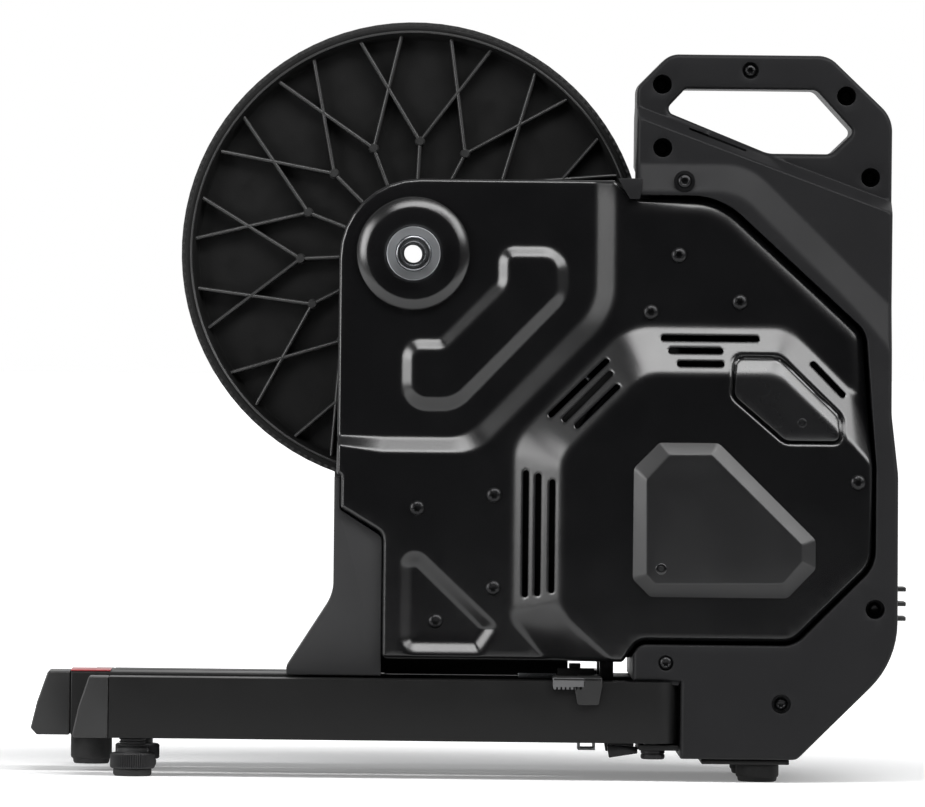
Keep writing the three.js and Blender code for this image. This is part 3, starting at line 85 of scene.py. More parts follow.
TINY = 1e-12  # stands in for a length of nothing where one divides
BATCH = 8000  # points measured at once, so that the tables stay small
CORNER_ROOM = 2.02  # a corner takes a little less than half of its shorter side
FLAT_WELD = 0.002  # vertices nearer than this become one, in a plate
TURNED_WELD = 0.004  # and in a turned piece
FACET_WELD = 0.02  # and in a copy of a CAD node
FACET_ANGLE = 0.5  # facets of that copy that bend less than this, in degrees, become one
CAP_ROUNDING = (1.8, 3, 50)  # width, flats and least angle of the rounding on the beam's and the legs' caps

Piece = bpy.types.Object
Points = np.ndarray
Pair = tuple[float, float]
Corner = tuple[float, float, float]
Box = tuple[float, float, float, float]
Form = tuple[Sequence[Corner], Box]  # corners as shares of a box, and the box from its owner's corner
Face = Callable[[Points], Points]
Trace = Callable[[float], Points]


# Places and outlines, all in millimetres


def place(x: float, y: float, z: float) -> Vector:
    """A point measured from the wheel axle in millimetres, in the frame's metres."""
    return Vector(((x + SHIFT) * MM, y * MM, z * MM))


def span(node: str) -> tuple[Vector, Vector]:
    """Lowest and highest corner of a CAD node in millimetres, with x from the axle."""
    low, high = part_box(node)
    return low / MM - Vector((SHIFT, 0, 0)), high / MM - Vector((SHIFT, 0, 0))


def middle_of(node: str) -> Vector:
    """The middle of a CAD node in the frame's metres."""
    low, high = span(node)
    return place(*((low + high) / 2))


def circle(x: float, z: float, radius: float, count: int = 32, turn: float = 0.0) -> Points:
    """Points round a circle.

    Args:
        x, z: its centre.
        radius: its radius.
        count: how many points.
        turn: angle of the first point in degrees.

    Returns:
        The points, counter-clockwise.
    """
    angles = np.radians(turn) + np.arange(count) * 2 * np.pi / count
    return np.column_stack([x + radius * np.cos(angles), z + radius * np.sin(angles)])


def offset(corners: Sequence[Corner], distance: float) -> list[Corner]:
    """Corners moved outwards by a distance, or inwards where it is negative.

    Args:
        corners: x, z and radius of each corner.
        distance: how far the sides move.

    Returns:
        The moved corners, their radii changed to match.
    """
    points = np.array([corner[:2] for corner in corners], dtype=float)
    following = np.roll(points, -1, axis=0)
    area = np.sum(points[:, 0] * following[:, 1] - following[:, 0] * points[:, 1])
    side = 1.0 if area > 0 else -1.0
    along = following - points
    along /= np.linalg.norm(along, axis=1)[:, None]
    normals = np.column_stack([along[:, 1], -along[:, 0]]) * side
    moved = []
    for index, (point, corner) in enumerate(zip(points, corners)):
        before, after = normals[index - 1], normals[index]
        shift = (before + after) * distance / (1 + before @ after)
        convex = 1 if (before[0] * after[1] - before[1] * after[0]) * side > 0 else -1
        moved.append((*(point + shift), max(corner[2] + distance * convex, FIT)))
    return moved


def rounded(corners: Sequence[Corner], steps: int = 8) -> Points:
    """An outline with rounded corners.

    Args:
        corners: x, z and radius of each corner.
        steps: flats on each rounded corner.

    Returns:
        The outline's points.
    """
    points = np.array([corner[:2] for corner in corners], dtype=float)
    outline = []
    for index, (point, corner) in enumerate(zip(points, corners)):
        before = points[index - 1] - point
        after = points[(index + 1) % len(points)] - point
        room = min(np.linalg.norm(before), np.linalg.norm(after)) / CORNER_ROOM
        before, after = before / np.linalg.norm(before), after / np.linalg.norm(after)
        half = math.acos(max(-1.0, min(1.0, before @ after))) / 2
        reach = min(corner[2] / math.tan(half), room)
        radius = reach * math.tan(half)
        inward = (before + after) / np.linalg.norm(before + after)
        centre = point + inward * radius / math.sin(half)
        start, end = point + before * reach - centre, point + after * reach - centre
        turn = math.atan2(start[0] * end[1] - start[1] * end[0], start @ end)
        for step in range(steps + 1):
            angle = turn * step / steps
            cosine, sine = math.cos(angle), math.sin(angle)
            turned_start = [start[0] * cosine - start[1] * sine, start[0] * sine + start[1] * cosine]
            outline.append(centre + turned_start)
    return np.array(outline)


def in_box(shares: Sequence[Corner], box: Box) -> list[Corner]:
    """A table of x share, z share and radius share as corners in a box of left, bottom, length and height."""
    left, bottom, length, height = box
    return [(left + x * length, bottom + z * height, radius * length) for x, z, radius in shares]


def resampled(outline: Points, spacing: float) -> Points:
    """A closed outline with its long sides divided.

    Args:
        outline: the points.
        spacing: the longest side that is left whole.

    Returns:
        The outline with more points.
    """
    parts = []
    for start, end in zip(outline, np.roll(outline, -1, axis=0)):
        count = max(1, math.ceil(np.linalg.norm(end - start) / spacing))
        parts.append(start + (end - start) * (np.arange(count) / count)[:, None])
    return np.vstack(parts)


def signed_distance(points: Points, outline: Points) -> Points:
    """Distance of points to a closed outline.

    Args:
        points: where it is measured.
        outline: the closed outline.

    Returns:
        The distances, negative inside.
    """
    starts, ends = outline, np.roll(outline, -1, axis=0)
    sides = ends - starts
    lengths = np.maximum((sides**2).sum(1), TINY)
    distances = np.empty(len(points))
    for first in range(0, len(points), BATCH):
        batch = points[first : first + BATCH, None, :]
        gap = batch - starts
        share = np.clip((gap * sides).sum(2) / lengths, 0, 1)
        nearest = np.sqrt(((gap - share[..., None] * sides) ** 2).sum(2).min(1))
        above = starts[:, 1] > batch[..., 1]
        crosses = above != (ends[:, 1] > batch[..., 1])
        height = np.where(sides[:, 1] == 0, TINY, sides[:, 1])
        at = starts[:, 0] + (batch[..., 1] - starts[:, 1]) * sides[:, 0] / height
        inside = (crosses & (batch[..., 0] < at)).sum(1) % 2 == 1
        distances[first : first + BATCH] = np.where(inside, -nearest, nearest)
    return distances


def soft_min(first: Points | float, second: Points | float, blend: float) -> Points:
    """The lower of two heights, with the edge between them rounded over a blend."""
    share = np.clip(0.5 + 0.5 * (second - first) / blend, 0, 1)
    return second + (first - second) * share - blend * share * (1 - share)


def soft_max(first: Points | float, second: Points | float, blend: float) -> Points:
    """The higher of two heights, with the edge between them rounded over a blend."""
    return -soft_min(-first, -second, blend)


# Blender's tools, each on one piece at a time


def select_only(piece: Piece | None) -> None:
    """Deselects everything, then selects and activates one piece.

    Args:
        piece: the piece, or None to leave nothing selected.
    """
    bpy.ops.object.select_all(action="DESELECT")
    if piece is not None:
        piece.select_set(True)
        bpy.context.view_layer.objects.active = piece


@contextmanager
def editing(piece: Piece, kind: str = "EDGE", start: str = "SELECT") -> Iterator[bmesh.types.BMesh]:
    """Edit mode on one piece.

    Args:
        piece: the piece.
        kind: what is selected, VERT, EDGE or FACE.
        start: SELECT for all of it, DESELECT for none.

    Returns:
        The edit mesh, in which edges and faces are selected by place.
    """
    select_only(piece)
    bpy.ops.object.mode_set(mode="EDIT")
    bpy.ops.mesh.select_mode(type=kind)
    bpy.ops.mesh.select_all(action=start)
    yield bmesh.from_edit_mesh(piece.data)
    bpy.ops.object.mode_set(mode="OBJECT")


def welded(piece: Piece, gap: float) -> Piece:
    """Merges doubled vertices and turns all faces outwards.

    Args:
        piece: the piece.
        gap: vertices nearer than this, in millimetres, become one.

    Returns:
        The piece.
    """
    with editing(piece, "VERT"):
        bpy.ops.mesh.remove_doubles(threshold=gap * MM)
        bpy.ops.mesh.dissolve_degenerate(threshold=gap * MM / 2)
        bpy.ops.mesh.select_all(action="SELECT")
        bpy.ops.mesh.normals_make_consistent(inside=False)
    return piece


def bevel(piece: Piece, chosen: Callable[[Vector, Vector], bool], width: float, segments: int = 3) -> Piece:
    """Rounds the edges that a test picks.

    Args:
        piece: the piece.
        chosen: a test on an edge's two ends, in millimetres from the axle.
        width: the bevel's width.
        segments: its flats.

    Returns:
        The piece.
    """
    shift = Vector((SHIFT, 0, 0))
    with editing(piece, start="DESELECT") as mesh:
        for edge in mesh.edges:
            ends = [vertex.co / MM - shift for vertex in edge.verts]
            edge.select_set(chosen(*ends))
        bmesh.update_edit_mesh(piece.data)
        bpy.ops.mesh.bevel(offset=width * MM, segments=segments, affect="EDGES", clamp_overlap=True)
    return piece


def softened(piece: Piece, width: float, segments: int = 2, angle: float = 32) -> Piece:
    """Rounds every sharp edge with a bevel modifier, applied.

    Args:
        piece: the piece.
        width: the rounding's width.
        segments: its flats.
        angle: edges flatter than this stay as they are.

    Returns:
        The piece.
    """
    modifier = piece.modifiers.new("rounding", "BEVEL")
    modifier.width = width * MM
    modifier.segments = segments
    modifier.limit_method = "ANGLE"
    modifier.angle_limit = math.radians(angle)
    modifier.miter_outer = "MITER_ARC"
    select_only(piece)
    bpy.ops.object.modifier_apply(modifier=modifier.name)
    return piece


def block(name: str, low: Sequence[float], high: Sequence[float]) -> Piece:
    """A box, the start of a squared piece.

    Args:
        name: the piece's name.
        low, high: its corners in millimetres.

    Returns:
        The box.
    """
    select_only(None)
    middle = [(a + b) / 2 for a, b in zip(low, high)]
    bpy.ops.mesh.primitive_cube_add(size=1, location=place(*middle))
    piece = bpy.context.object
    piece.name = name
    piece.scale = [(b - a) * MM for a, b in zip(low, high)]
    bpy.ops.object.transform_apply(location=True, rotation=True, scale=True)
    return piece


def loop_through(name: str, points: Sequence[Sequence[float]], fill: str = "NOTHING") -> Piece:
    """A closed line: a circle drawn out until it passes through points.

    Args:
        name: the piece's name.
        points: the points in the frame's metres.
        fill: NOTHING, or NGON for a filled outline.

    Returns:
        The line or the filled outline.
    """
    select_only(None)
    bpy.ops.mesh.primitive_circle_add(vertices=len(points), fill_type=fill)
    piece = bpy.context.object
    piece.name = name
    bpy.ops.object.transform_apply(location=True, rotation=True, scale=True)
    for vertex, point in zip(piece.data.vertices, points):
        vertex.co = point
    return piece


def drawn_out(piece: Piece, depth: float) -> Piece:
    """Extrudes a flat piece along y and closes it.

    Args:
        piece: the flat piece.
        depth: how far it is extruded, in millimetres.

    Returns:
        The closed piece.
    """
    with editing(piece, "FACE"):
        bpy.ops.mesh.extrude_region_move(TRANSFORM_OT_translate={"value": (0, depth * MM, 0)})
    return welded(piece, FLAT_WELD)


def prism(name: str, outline: Points, near: float, far: float) -> Piece:
    """An upright plate: a filled circle drawn out to an outline, then extruded.

    Args:
        name: the piece's name.
        outline: its points in x and z.
        near, far: y of its two faces.

    Returns:
        The closed piece.
    """
    piece = loop_through(name, [place(x, near, z) for x, z in outline], "NGON")
    return drawn_out(piece, far - near)


def turned(name: str, profile: Sequence[Pair], centre: Vector, axis: str, steps: int = 64) -> Piece:
    """A turned piece: its profile, a closed line, spun round an axis.

    Args:
        name: the piece's name.
        profile: radius and place along the axis of each point, closed on itself.
        centre: a point on the axis in the frame's metres; its place along the axis is not used.
        axis: Y or Z.
        steps: flats round it.

    Returns:
        The closed piece.
    """
    points = []
    for radius, along in profile:
        upright = (centre.y, along * MM) if axis == "Z" else (along * MM, centre.z)
        points.append((centre.x + radius * MM, *upright))
    piece = loop_through(name, points)
    with editing(piece, "VERT"):
        direction = (0, 1, 0) if axis == "Y" else (0, 0, 1)
        bpy.ops.mesh.spin(steps=steps, angle=2 * math.pi, center=centre, axis=direction)
    return welded(piece, TURNED_WELD)


def copied(piece: Piece, name: str, move: Vector | None = None, turn: Matrix | None = None) -> Piece:
    """A copy of a piece with a mesh of its own.

    Args:
        piece: the piece.
        name: the copy's name.
        move: how far the copy's mesh is moved, after its turn.
        turn: how its mesh is turned.

    Returns:
        The copy.
    """
    twin = piece.copy()
    twin.data = piece.data.copy()
    twin.name = name
    bpy.context.collection.objects.link(twin)
    if turn is not None:
        twin.data.transform(turn)
    if move is not None:
        twin.data.transform(Matrix.Translation(move))
    return twin


def mirrored(piece: Piece, name: str) -> Piece:
    """A left-hand piece turned over the mid-plane.

    Args:
        piece: the left-hand piece.
        name: the copy's name.

    Returns:
        The copy.
    """
    twin = copied(piece, name, turn=Matrix.Scale(-1, 4, (0, 1, 0)))
    twin.data.flip_normals()
    return twin


def united(name: str, pieces: Sequence[Piece]) -> Piece:
    """Joins several bodies.

    Args:
        name: the joined piece's name.
        pieces: the bodies; the first takes in the others.

    Returns:
        The joined piece.
    """
    select_only(pieces[0])
    for piece in pieces[1:]:
        piece.select_set(True)
    bpy.ops.object.join()
    pieces[0].name = name
    return pieces[0]


def refined(node: str, name: str, width: float, segments: int = 2, angle: float = 32) -> Piece:
    """A CAD node's shape as a new piece with its loose facets merged and its edges rounded.

    Args:
        node: the CAD node.
        name: the new piece's name.
        width: the rounding's width.
        segments: its flats.
        angle: edges flatter than this stay as they are.

    Returns:
        The new piece.
    """
    piece = bpy.data.objects.new(name, frame["nodes"][node].data.copy())
    bpy.context.collection.objects.link(piece)
    piece.data.materials.clear()
    with editing(piece, "VERT"):
        bpy.ops.mesh.remove_doubles(threshold=FACET_WELD * MM)
        bpy.ops.mesh.select_all(action="SELECT")
        bpy.ops.mesh.dissolve_limited(angle_limit=math.radians(FACET_ANGLE))
    return softened(piece, width, segments, angle)


# Finishes


def linear(code: str) -> tuple[float, float, float, float]:
    """An sRGB hex colour as linear red, green, blue and alpha."""
    shades = [int(code[i : i + 2], 16) / 255 for i in (1, 3, 5)]
    return (*(s / 12.92 if s <= 0.04045 else ((s + 0.055) / 1.055) ** 2.4 for s in shades), 1.0)


def add_node(
    tree: bpy.types.NodeTree, kind: str, settings: dict | None = None, links: dict | None = None
) -> bpy.types.Node:
    """Adds a node with its settings and links.

    Args:
        tree: the node tree.
        kind: the node's type name.
        settings: values of its properties or of its inputs.
        links: for an input, the output that feeds it.

    Returns:
        The node.
    """
    node = tree.nodes.new(kind)
    for key, value in (settings or {}).items():
        if isinstance(key, str) and hasattr(node, key):
            setattr(node, key, value)
        else:
            node.inputs[key].default_value = value
    for key, output in (links or {}).items():
        tree.links.new(output, node.inputs[key])
    return node


WHITE = (1.0, 1.0, 1.0, 1.0)
BRUSH_STRETCH = 0.04  # brushed lines are this much finer across than along
BELT_RIBS = 190.0  # ripples of the belt's back per radian round the axle


class Pattern(Enum):
    """How a surface was made, which sets the pattern in it."""

    GRAINED = "even grain in all directions"
    TURNED = "fine rings round an axis along y"
    BRUSHED = "lines along x"
    TOOTHED = "ribs round the axle"


@dataclass(frozen=True)
class Finish:
    """One real surface: its material, how it was made and what that gives the eye."""

    name: str
    colour: str
    second: str
    roughness: tuple[float, float]
    grain: float
    depth: float
    patch: float = 40.0
    metallic: float = 0.0
    specular: float = 0.5
    pattern: Pattern = Pattern.GRAINED
    centre: tuple[float, float] = (0.0, 0.0)

    def material(self) -> bpy.types.Material:
        """The finish as a node material, made once.

        Returns:
            The material.
        """
        made = bpy.data.materials.get(self.name)
        if made is not None:
            return made
        made = bpy.data.materials.new(self.name)
        made.use_nodes = True
        tree = made.node_tree
        shader = tree.nodes["Principled BSDF"]
        shader.inputs["Metallic"].default_value = self.metallic
        if self.metallic < 0.5:
            shader.inputs["Specular IOR Level"].default_value = self.specular
        spot = add_node(tree, "ShaderNodeTexCoord").outputs["Object"]
        grain = self.grain_height(tree, spot)
        patches = add_node(
            tree, "ShaderNodeTexNoise", {"Scale": 1 / (self.patch * MM), "Detail": 4.0, "Roughness": 0.6},
            {"Vector": spot},
        )
        blend = add_node(
            tree, "ShaderNodeMix", {"data_type": "RGBA", 6: linear(self.colour), 7: linear(self.second)},
            {0: patches.outputs["Fac"]},
        )
        low, high = self.roughness
        shine = add_node(
            tree, "ShaderNodeMapRange", {"From Min": 0.3, "From Max": 0.7, "To Min": low, "To Max": high},
            {"Value": patches.outputs["Fac"]},
        )
        bump = add_node(
            tree, "ShaderNodeBump", {"Strength": 1.0, "Distance": self.depth * MM}, {"Height": grain}
        )
        tree.links.new(blend.outputs[2], shader.inputs["Base Color"])
        tree.links.new(shine.outputs["Result"], shader.inputs["Roughness"])
        tree.links.new(bump.outputs["Normal"], shader.inputs["Normal"])
        return made

    def grain_height(self, tree: bpy.types.NodeTree, spot: bpy.types.NodeSocket) -> bpy.types.NodeSocket:
        """The height of the surface's pattern.

        Args:
            tree: the material's nodes.
            spot: the Object coordinates.

        Returns:
            The socket with the height.
        """
        follows = spot
        if self.pattern is Pattern.BRUSHED:
            stretch = {"Scale": (BRUSH_STRETCH, 1, 1)}
            follows = add_node(tree, "ShaderNodeMapping", stretch, {"Vector": spot}).outputs[0]
        elif self.pattern is not Pattern.GRAINED:
            apart = add_node(tree, "ShaderNodeSeparateXYZ", links={"Vector": spot}).outputs
            centre = place(self.centre[0], 0, self.centre[1])
            across, up = (
                add_node(tree, "ShaderNodeMath", {"operation": "SUBTRACT", 1: at}, {0: apart[axis]}).outputs[0]
                for axis, at in (("X", centre.x), ("Z", centre.z))
            )
            if self.pattern is Pattern.TOOTHED:
                ribs = {"operation": "MULTIPLY", 1: BELT_RIBS}
                sides = {0: across, 1: up}
                angle = add_node(tree, "ShaderNodeMath", {"operation": "ARCTAN2"}, sides).outputs[0]
                wave = add_node(tree, "ShaderNodeMath", ribs, {0: angle}).outputs[0]
                return add_node(tree, "ShaderNodeMath", {"operation": "SINE"}, {0: wave}).outputs[0]
            flat = add_node(tree, "ShaderNodeCombineXYZ", links={"X": across, "Y": up}).outputs[0]
            far = add_node(tree, "ShaderNodeVectorMath", {"operation": "LENGTH"}, {0: flat}).outputs["Value"]
            follows = add_node(tree, "ShaderNodeCombineXYZ", links={"X": far, "Y": apart["Y"]}).outputs[0]
        noise = add_node(
            tree, "ShaderNodeTexNoise", {"Scale": 1 / (self.grain * MM), "Detail": 2.0}, {"Vector": follows}
        )
        return noise.outputs["Fac"]


# Stoved enamel on pressed steel: deep black and glossy, with an orange peel of 2.5 mm that softens highlights
ENAMEL = Finish("stoved_gloss_enamel", "#070708", "#0a0a0b", (0.23, 0.27), 2.5, 0.006, specular=0.6)
# Powder coat on welded steel tube: satin black with a fine grit, drawn at 0.9 mm so that it shows
POWDER = Finish("satin_powder_coat", "#0d0d0d", "#101010", (0.42, 0.5), 0.9, 0.012, specular=0.22)
# Pulley of cast aluminium under a flat black coat: a soft mottle of 15 mm and a cast skin of about 1.4 mm
CASTING = Finish(
    "black_coated_casting", "#0b0b0b", "#131313", (0.5, 0.66), 1.4, 0.05, patch=15.0, specular=0.15
)
# The casting's ribs and rim ring: the same coat painted lighter, a painted highlight along the edges, with a
# soft shine
CASTING_HIGHLIGHT = Finish("black_casting_painted_highlight", "#262626", "#2e2e2e", (0.3, 0.4), 1.4, 0.02, patch=15.0)
# Moulded ABS with a spark-eroded grain of 0.3 mm, drawn at 0.7 mm so that it shows: even and matt
GRAINED_ABS = Finish("moulded_grained_abs", "#1b1b1c", "#1e1e1f", (0.44, 0.5), 0.7, 0.025, specular=0.12)
# The large cover is moulded in the same ABS over a smoother tool, so its bevel catches the light
COVER_ABS = Finish("moulded_cover_abs", "#111112", "#141415", (0.34, 0.4), 0.7, 0.02, specular=0.5)
# Glass-filled nylon of the bracket over the beam: the same grain, a shade lighter than the shells. The foot
# knobs wear it too, lighter than their own nylon, as painted light that lifts them out of the shade near the
# floor
BRACKET_NYLON = Finish("moulded_bracket_nylon", "#1e1e1f", "#222223", (0.54, 0.62), 0.7, 0.02, specular=0.45)
# Smooth moulded ABS of the small cover: black and nearly as glossy as the enamel beside it
POLISHED_ABS = Finish("polished_moulded_abs", "#0f0f10", "#121213", (0.25, 0.3), 1.2, 0.004, specular=0.75)
# Smooth moulded nylon of caps, knobs and levers: a little darker and shinier than the grained shells
NYLON = Finish("moulded_black_nylon", "#161616", "#1a1a1a", (0.42, 0.52), 0.8, 0.012)
# Glass-filled nylon of the lever's grip: a lighter grey with the same grit
GREY_NYLON = Finish("moulded_grey_nylon", "#4a4a4b", "#555556", (0.5, 0.6), 0.8, 0.015)
# Pale acetal bracket: smooth, light grey
ACETAL = Finish("pale_grey_acetal", "#9d9fa1", "#aaacae", (0.4, 0.5), 1.0, 0.008)
# Nitrile rubber: nearly black, flat, with a dusty mottle
RUBBER = Finish("moulded_nitrile_rubber", "#0f0f0f", "#171717", (0.7, 0.85), 0.9, 0.03, patch=8.0)
# Polyurethane belt: black, flat, with fine ribs
BELT = Finish(
    "ribbed_belt_rubber", "#101010", "#161616", (0.6, 0.72), 1.0, 0.2,
    pattern=Pattern.TOOTHED, centre=AXLE_SPOT,
)
# Grey cast iron, turned: dark grey metal, darkened further as painted shade so that the panel's slots read
# black, with fine tool rings of about 0.8 mm
IRON = Finish(
    "turned_cast_iron", "#222223", "#2b2b2c", (0.38, 0.5), 0.8, 0.02, metallic=1.0,
    pattern=Pattern.TURNED, centre=FLYWHEEL_SPOT,
)
# Turned and ground steel: bright grey with fine rings
STEEL = Finish(
    "turned_bright_steel", "#8d8f92", "#a2a4a7", (0.24, 0.34), 0.5, 0.008, metallic=1.0,
    pattern=Pattern.TURNED, centre=AXLE_SPOT,
)
# Nickel-plated pressed steel of the sprockets: bright, slightly warm, lightly brushed
NICKEL = Finish(
    "nickel_plated_steel", "#a5a39f", "#b7b5b0", (0.24, 0.34), 0.6, 0.01, metallic=1.0,
    pattern=Pattern.BRUSHED,
)
# Black oxide on steel screws: nearly black metal with a soft shine at the edges
OXIDE = Finish("black_oxide_steel", "#1a1a1b", "#222223", (0.26, 0.34), 0.6, 0.01, metallic=0.7)
# Machined aluminium: pale, satin, with fine rings
ALUMINIUM = Finish(
    "machined_aluminium", "#a4a6a9", "#bec0c3", (0.4, 0.44), 0.5, 0.012, metallic=1.0,
    pattern=Pattern.TURNED, centre=AXLE_SPOT,
)
# Red lacquer on a small strip: dull red under a satin clear coat
RED = Finish("red_satin_lacquer", "#a2373a", "#8e2c30", (0.3, 0.4), 1.5, 0.004, patch=20.0)
# Green solder mask on a circuit board: glossy green with a weave of about 0.9 mm
MASK = Finish("green_solder_mask", "#174a28", "#1c5630", (0.3, 0.4), 0.9, 0.01)

SLOT_FINISHES = {
    "gloss_black_paint": ENAMEL,
    "satin_black_paint": POWDER,
    "cast_pulley": CASTING,
    "moulded_plastic": GRAINED_ABS,
    "dark_plastic": NYLON,
    "grey_plastic": ACETAL,
    "red_accent": RED,
    "circuit_board": MASK,
    "rubber": RUBBER,
    "cast_iron": IRON,
    "bright_steel": STEEL,
    "black_steel": OXIDE,
    "aluminium": ALUMINIUM,
}


def dress(
    piece: Piece, finish: Finish, body: str, nodes: Sequence[str] = (), angle: float = 38
) -> Piece:
    """Gives a finished piece its surface and its place in the moving model.

    Args:
        piece: the piece.
        finish: its surface.
        body: the CAD body it rides on.
        nodes: the CAD nodes it stands for.
        angle: edges sharper than this stay sharp.

    Returns:
        The piece.
    """
    piece.data.materials.clear()
    piece.data.materials.append(finish.material())
    select_only(piece)
    bpy.ops.object.shade_smooth_by_angle(angle=math.radians(angle))
    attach(piece, body)
    if nodes:
        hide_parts(*nodes)
    log.info("%s: %d faces on %s", piece.name, len(piece.data.polygons), body)
    return piece


# Pressed and moulded skins, made as triangulated reliefs because no operator draws their freely curved faces


class Keeps(Enum):
    """Which side of an outline belongs to a skin."""

    INSIDE = -1
    OUTSIDE = 1


@dataclass
class Border:
    """One border of a skin.

    The traces are outlines as functions of how far they are moved outwards; a skin that keeps the inside of
    several joins them. The fillet draws the face back along the border, with a row of points at each of its
    shares. A back gives the border a wall, and a capped border's wall is closed by a floor.
    """

    traces: list[Trace]
    keeps: Keeps
    fillet: float
    back: Face | None = None
    capped: bool = False
    shares: tuple[float, ...] = (0.0, 0.05, 0.19, 0.41, 0.69, 1.0)

    def depth(self, points: Points) -> Points:
        """How far points lie inside the skin from this border."""
        distances = [signed_distance(points, trace(0.0)) * self.keeps.value for trace in self.traces]
        return np.max(distances, axis=0) if self.keeps is Keeps.INSIDE else np.min(distances, axis=0)

    def rows(self, spacing: float) -> list[Points]:
        """Rows of points that follow the border across its fillet.

        Args:
            spacing: the longest gap between two points of a row.

        Returns:
            The closed rows.
        """
        return [
            resampled(trace(self.keeps.value * share * self.fillet), spacing)
            for trace in self.traces
            for share in self.shares
        ]

    def drop(self, depth: Points) -> Points:
        """How far the fillet draws the face back, by depth from the border."""
        near = np.clip(1 - depth / self.fillet, 0, 1)
        return self.fillet * (1 - np.sqrt(1 - near**2))


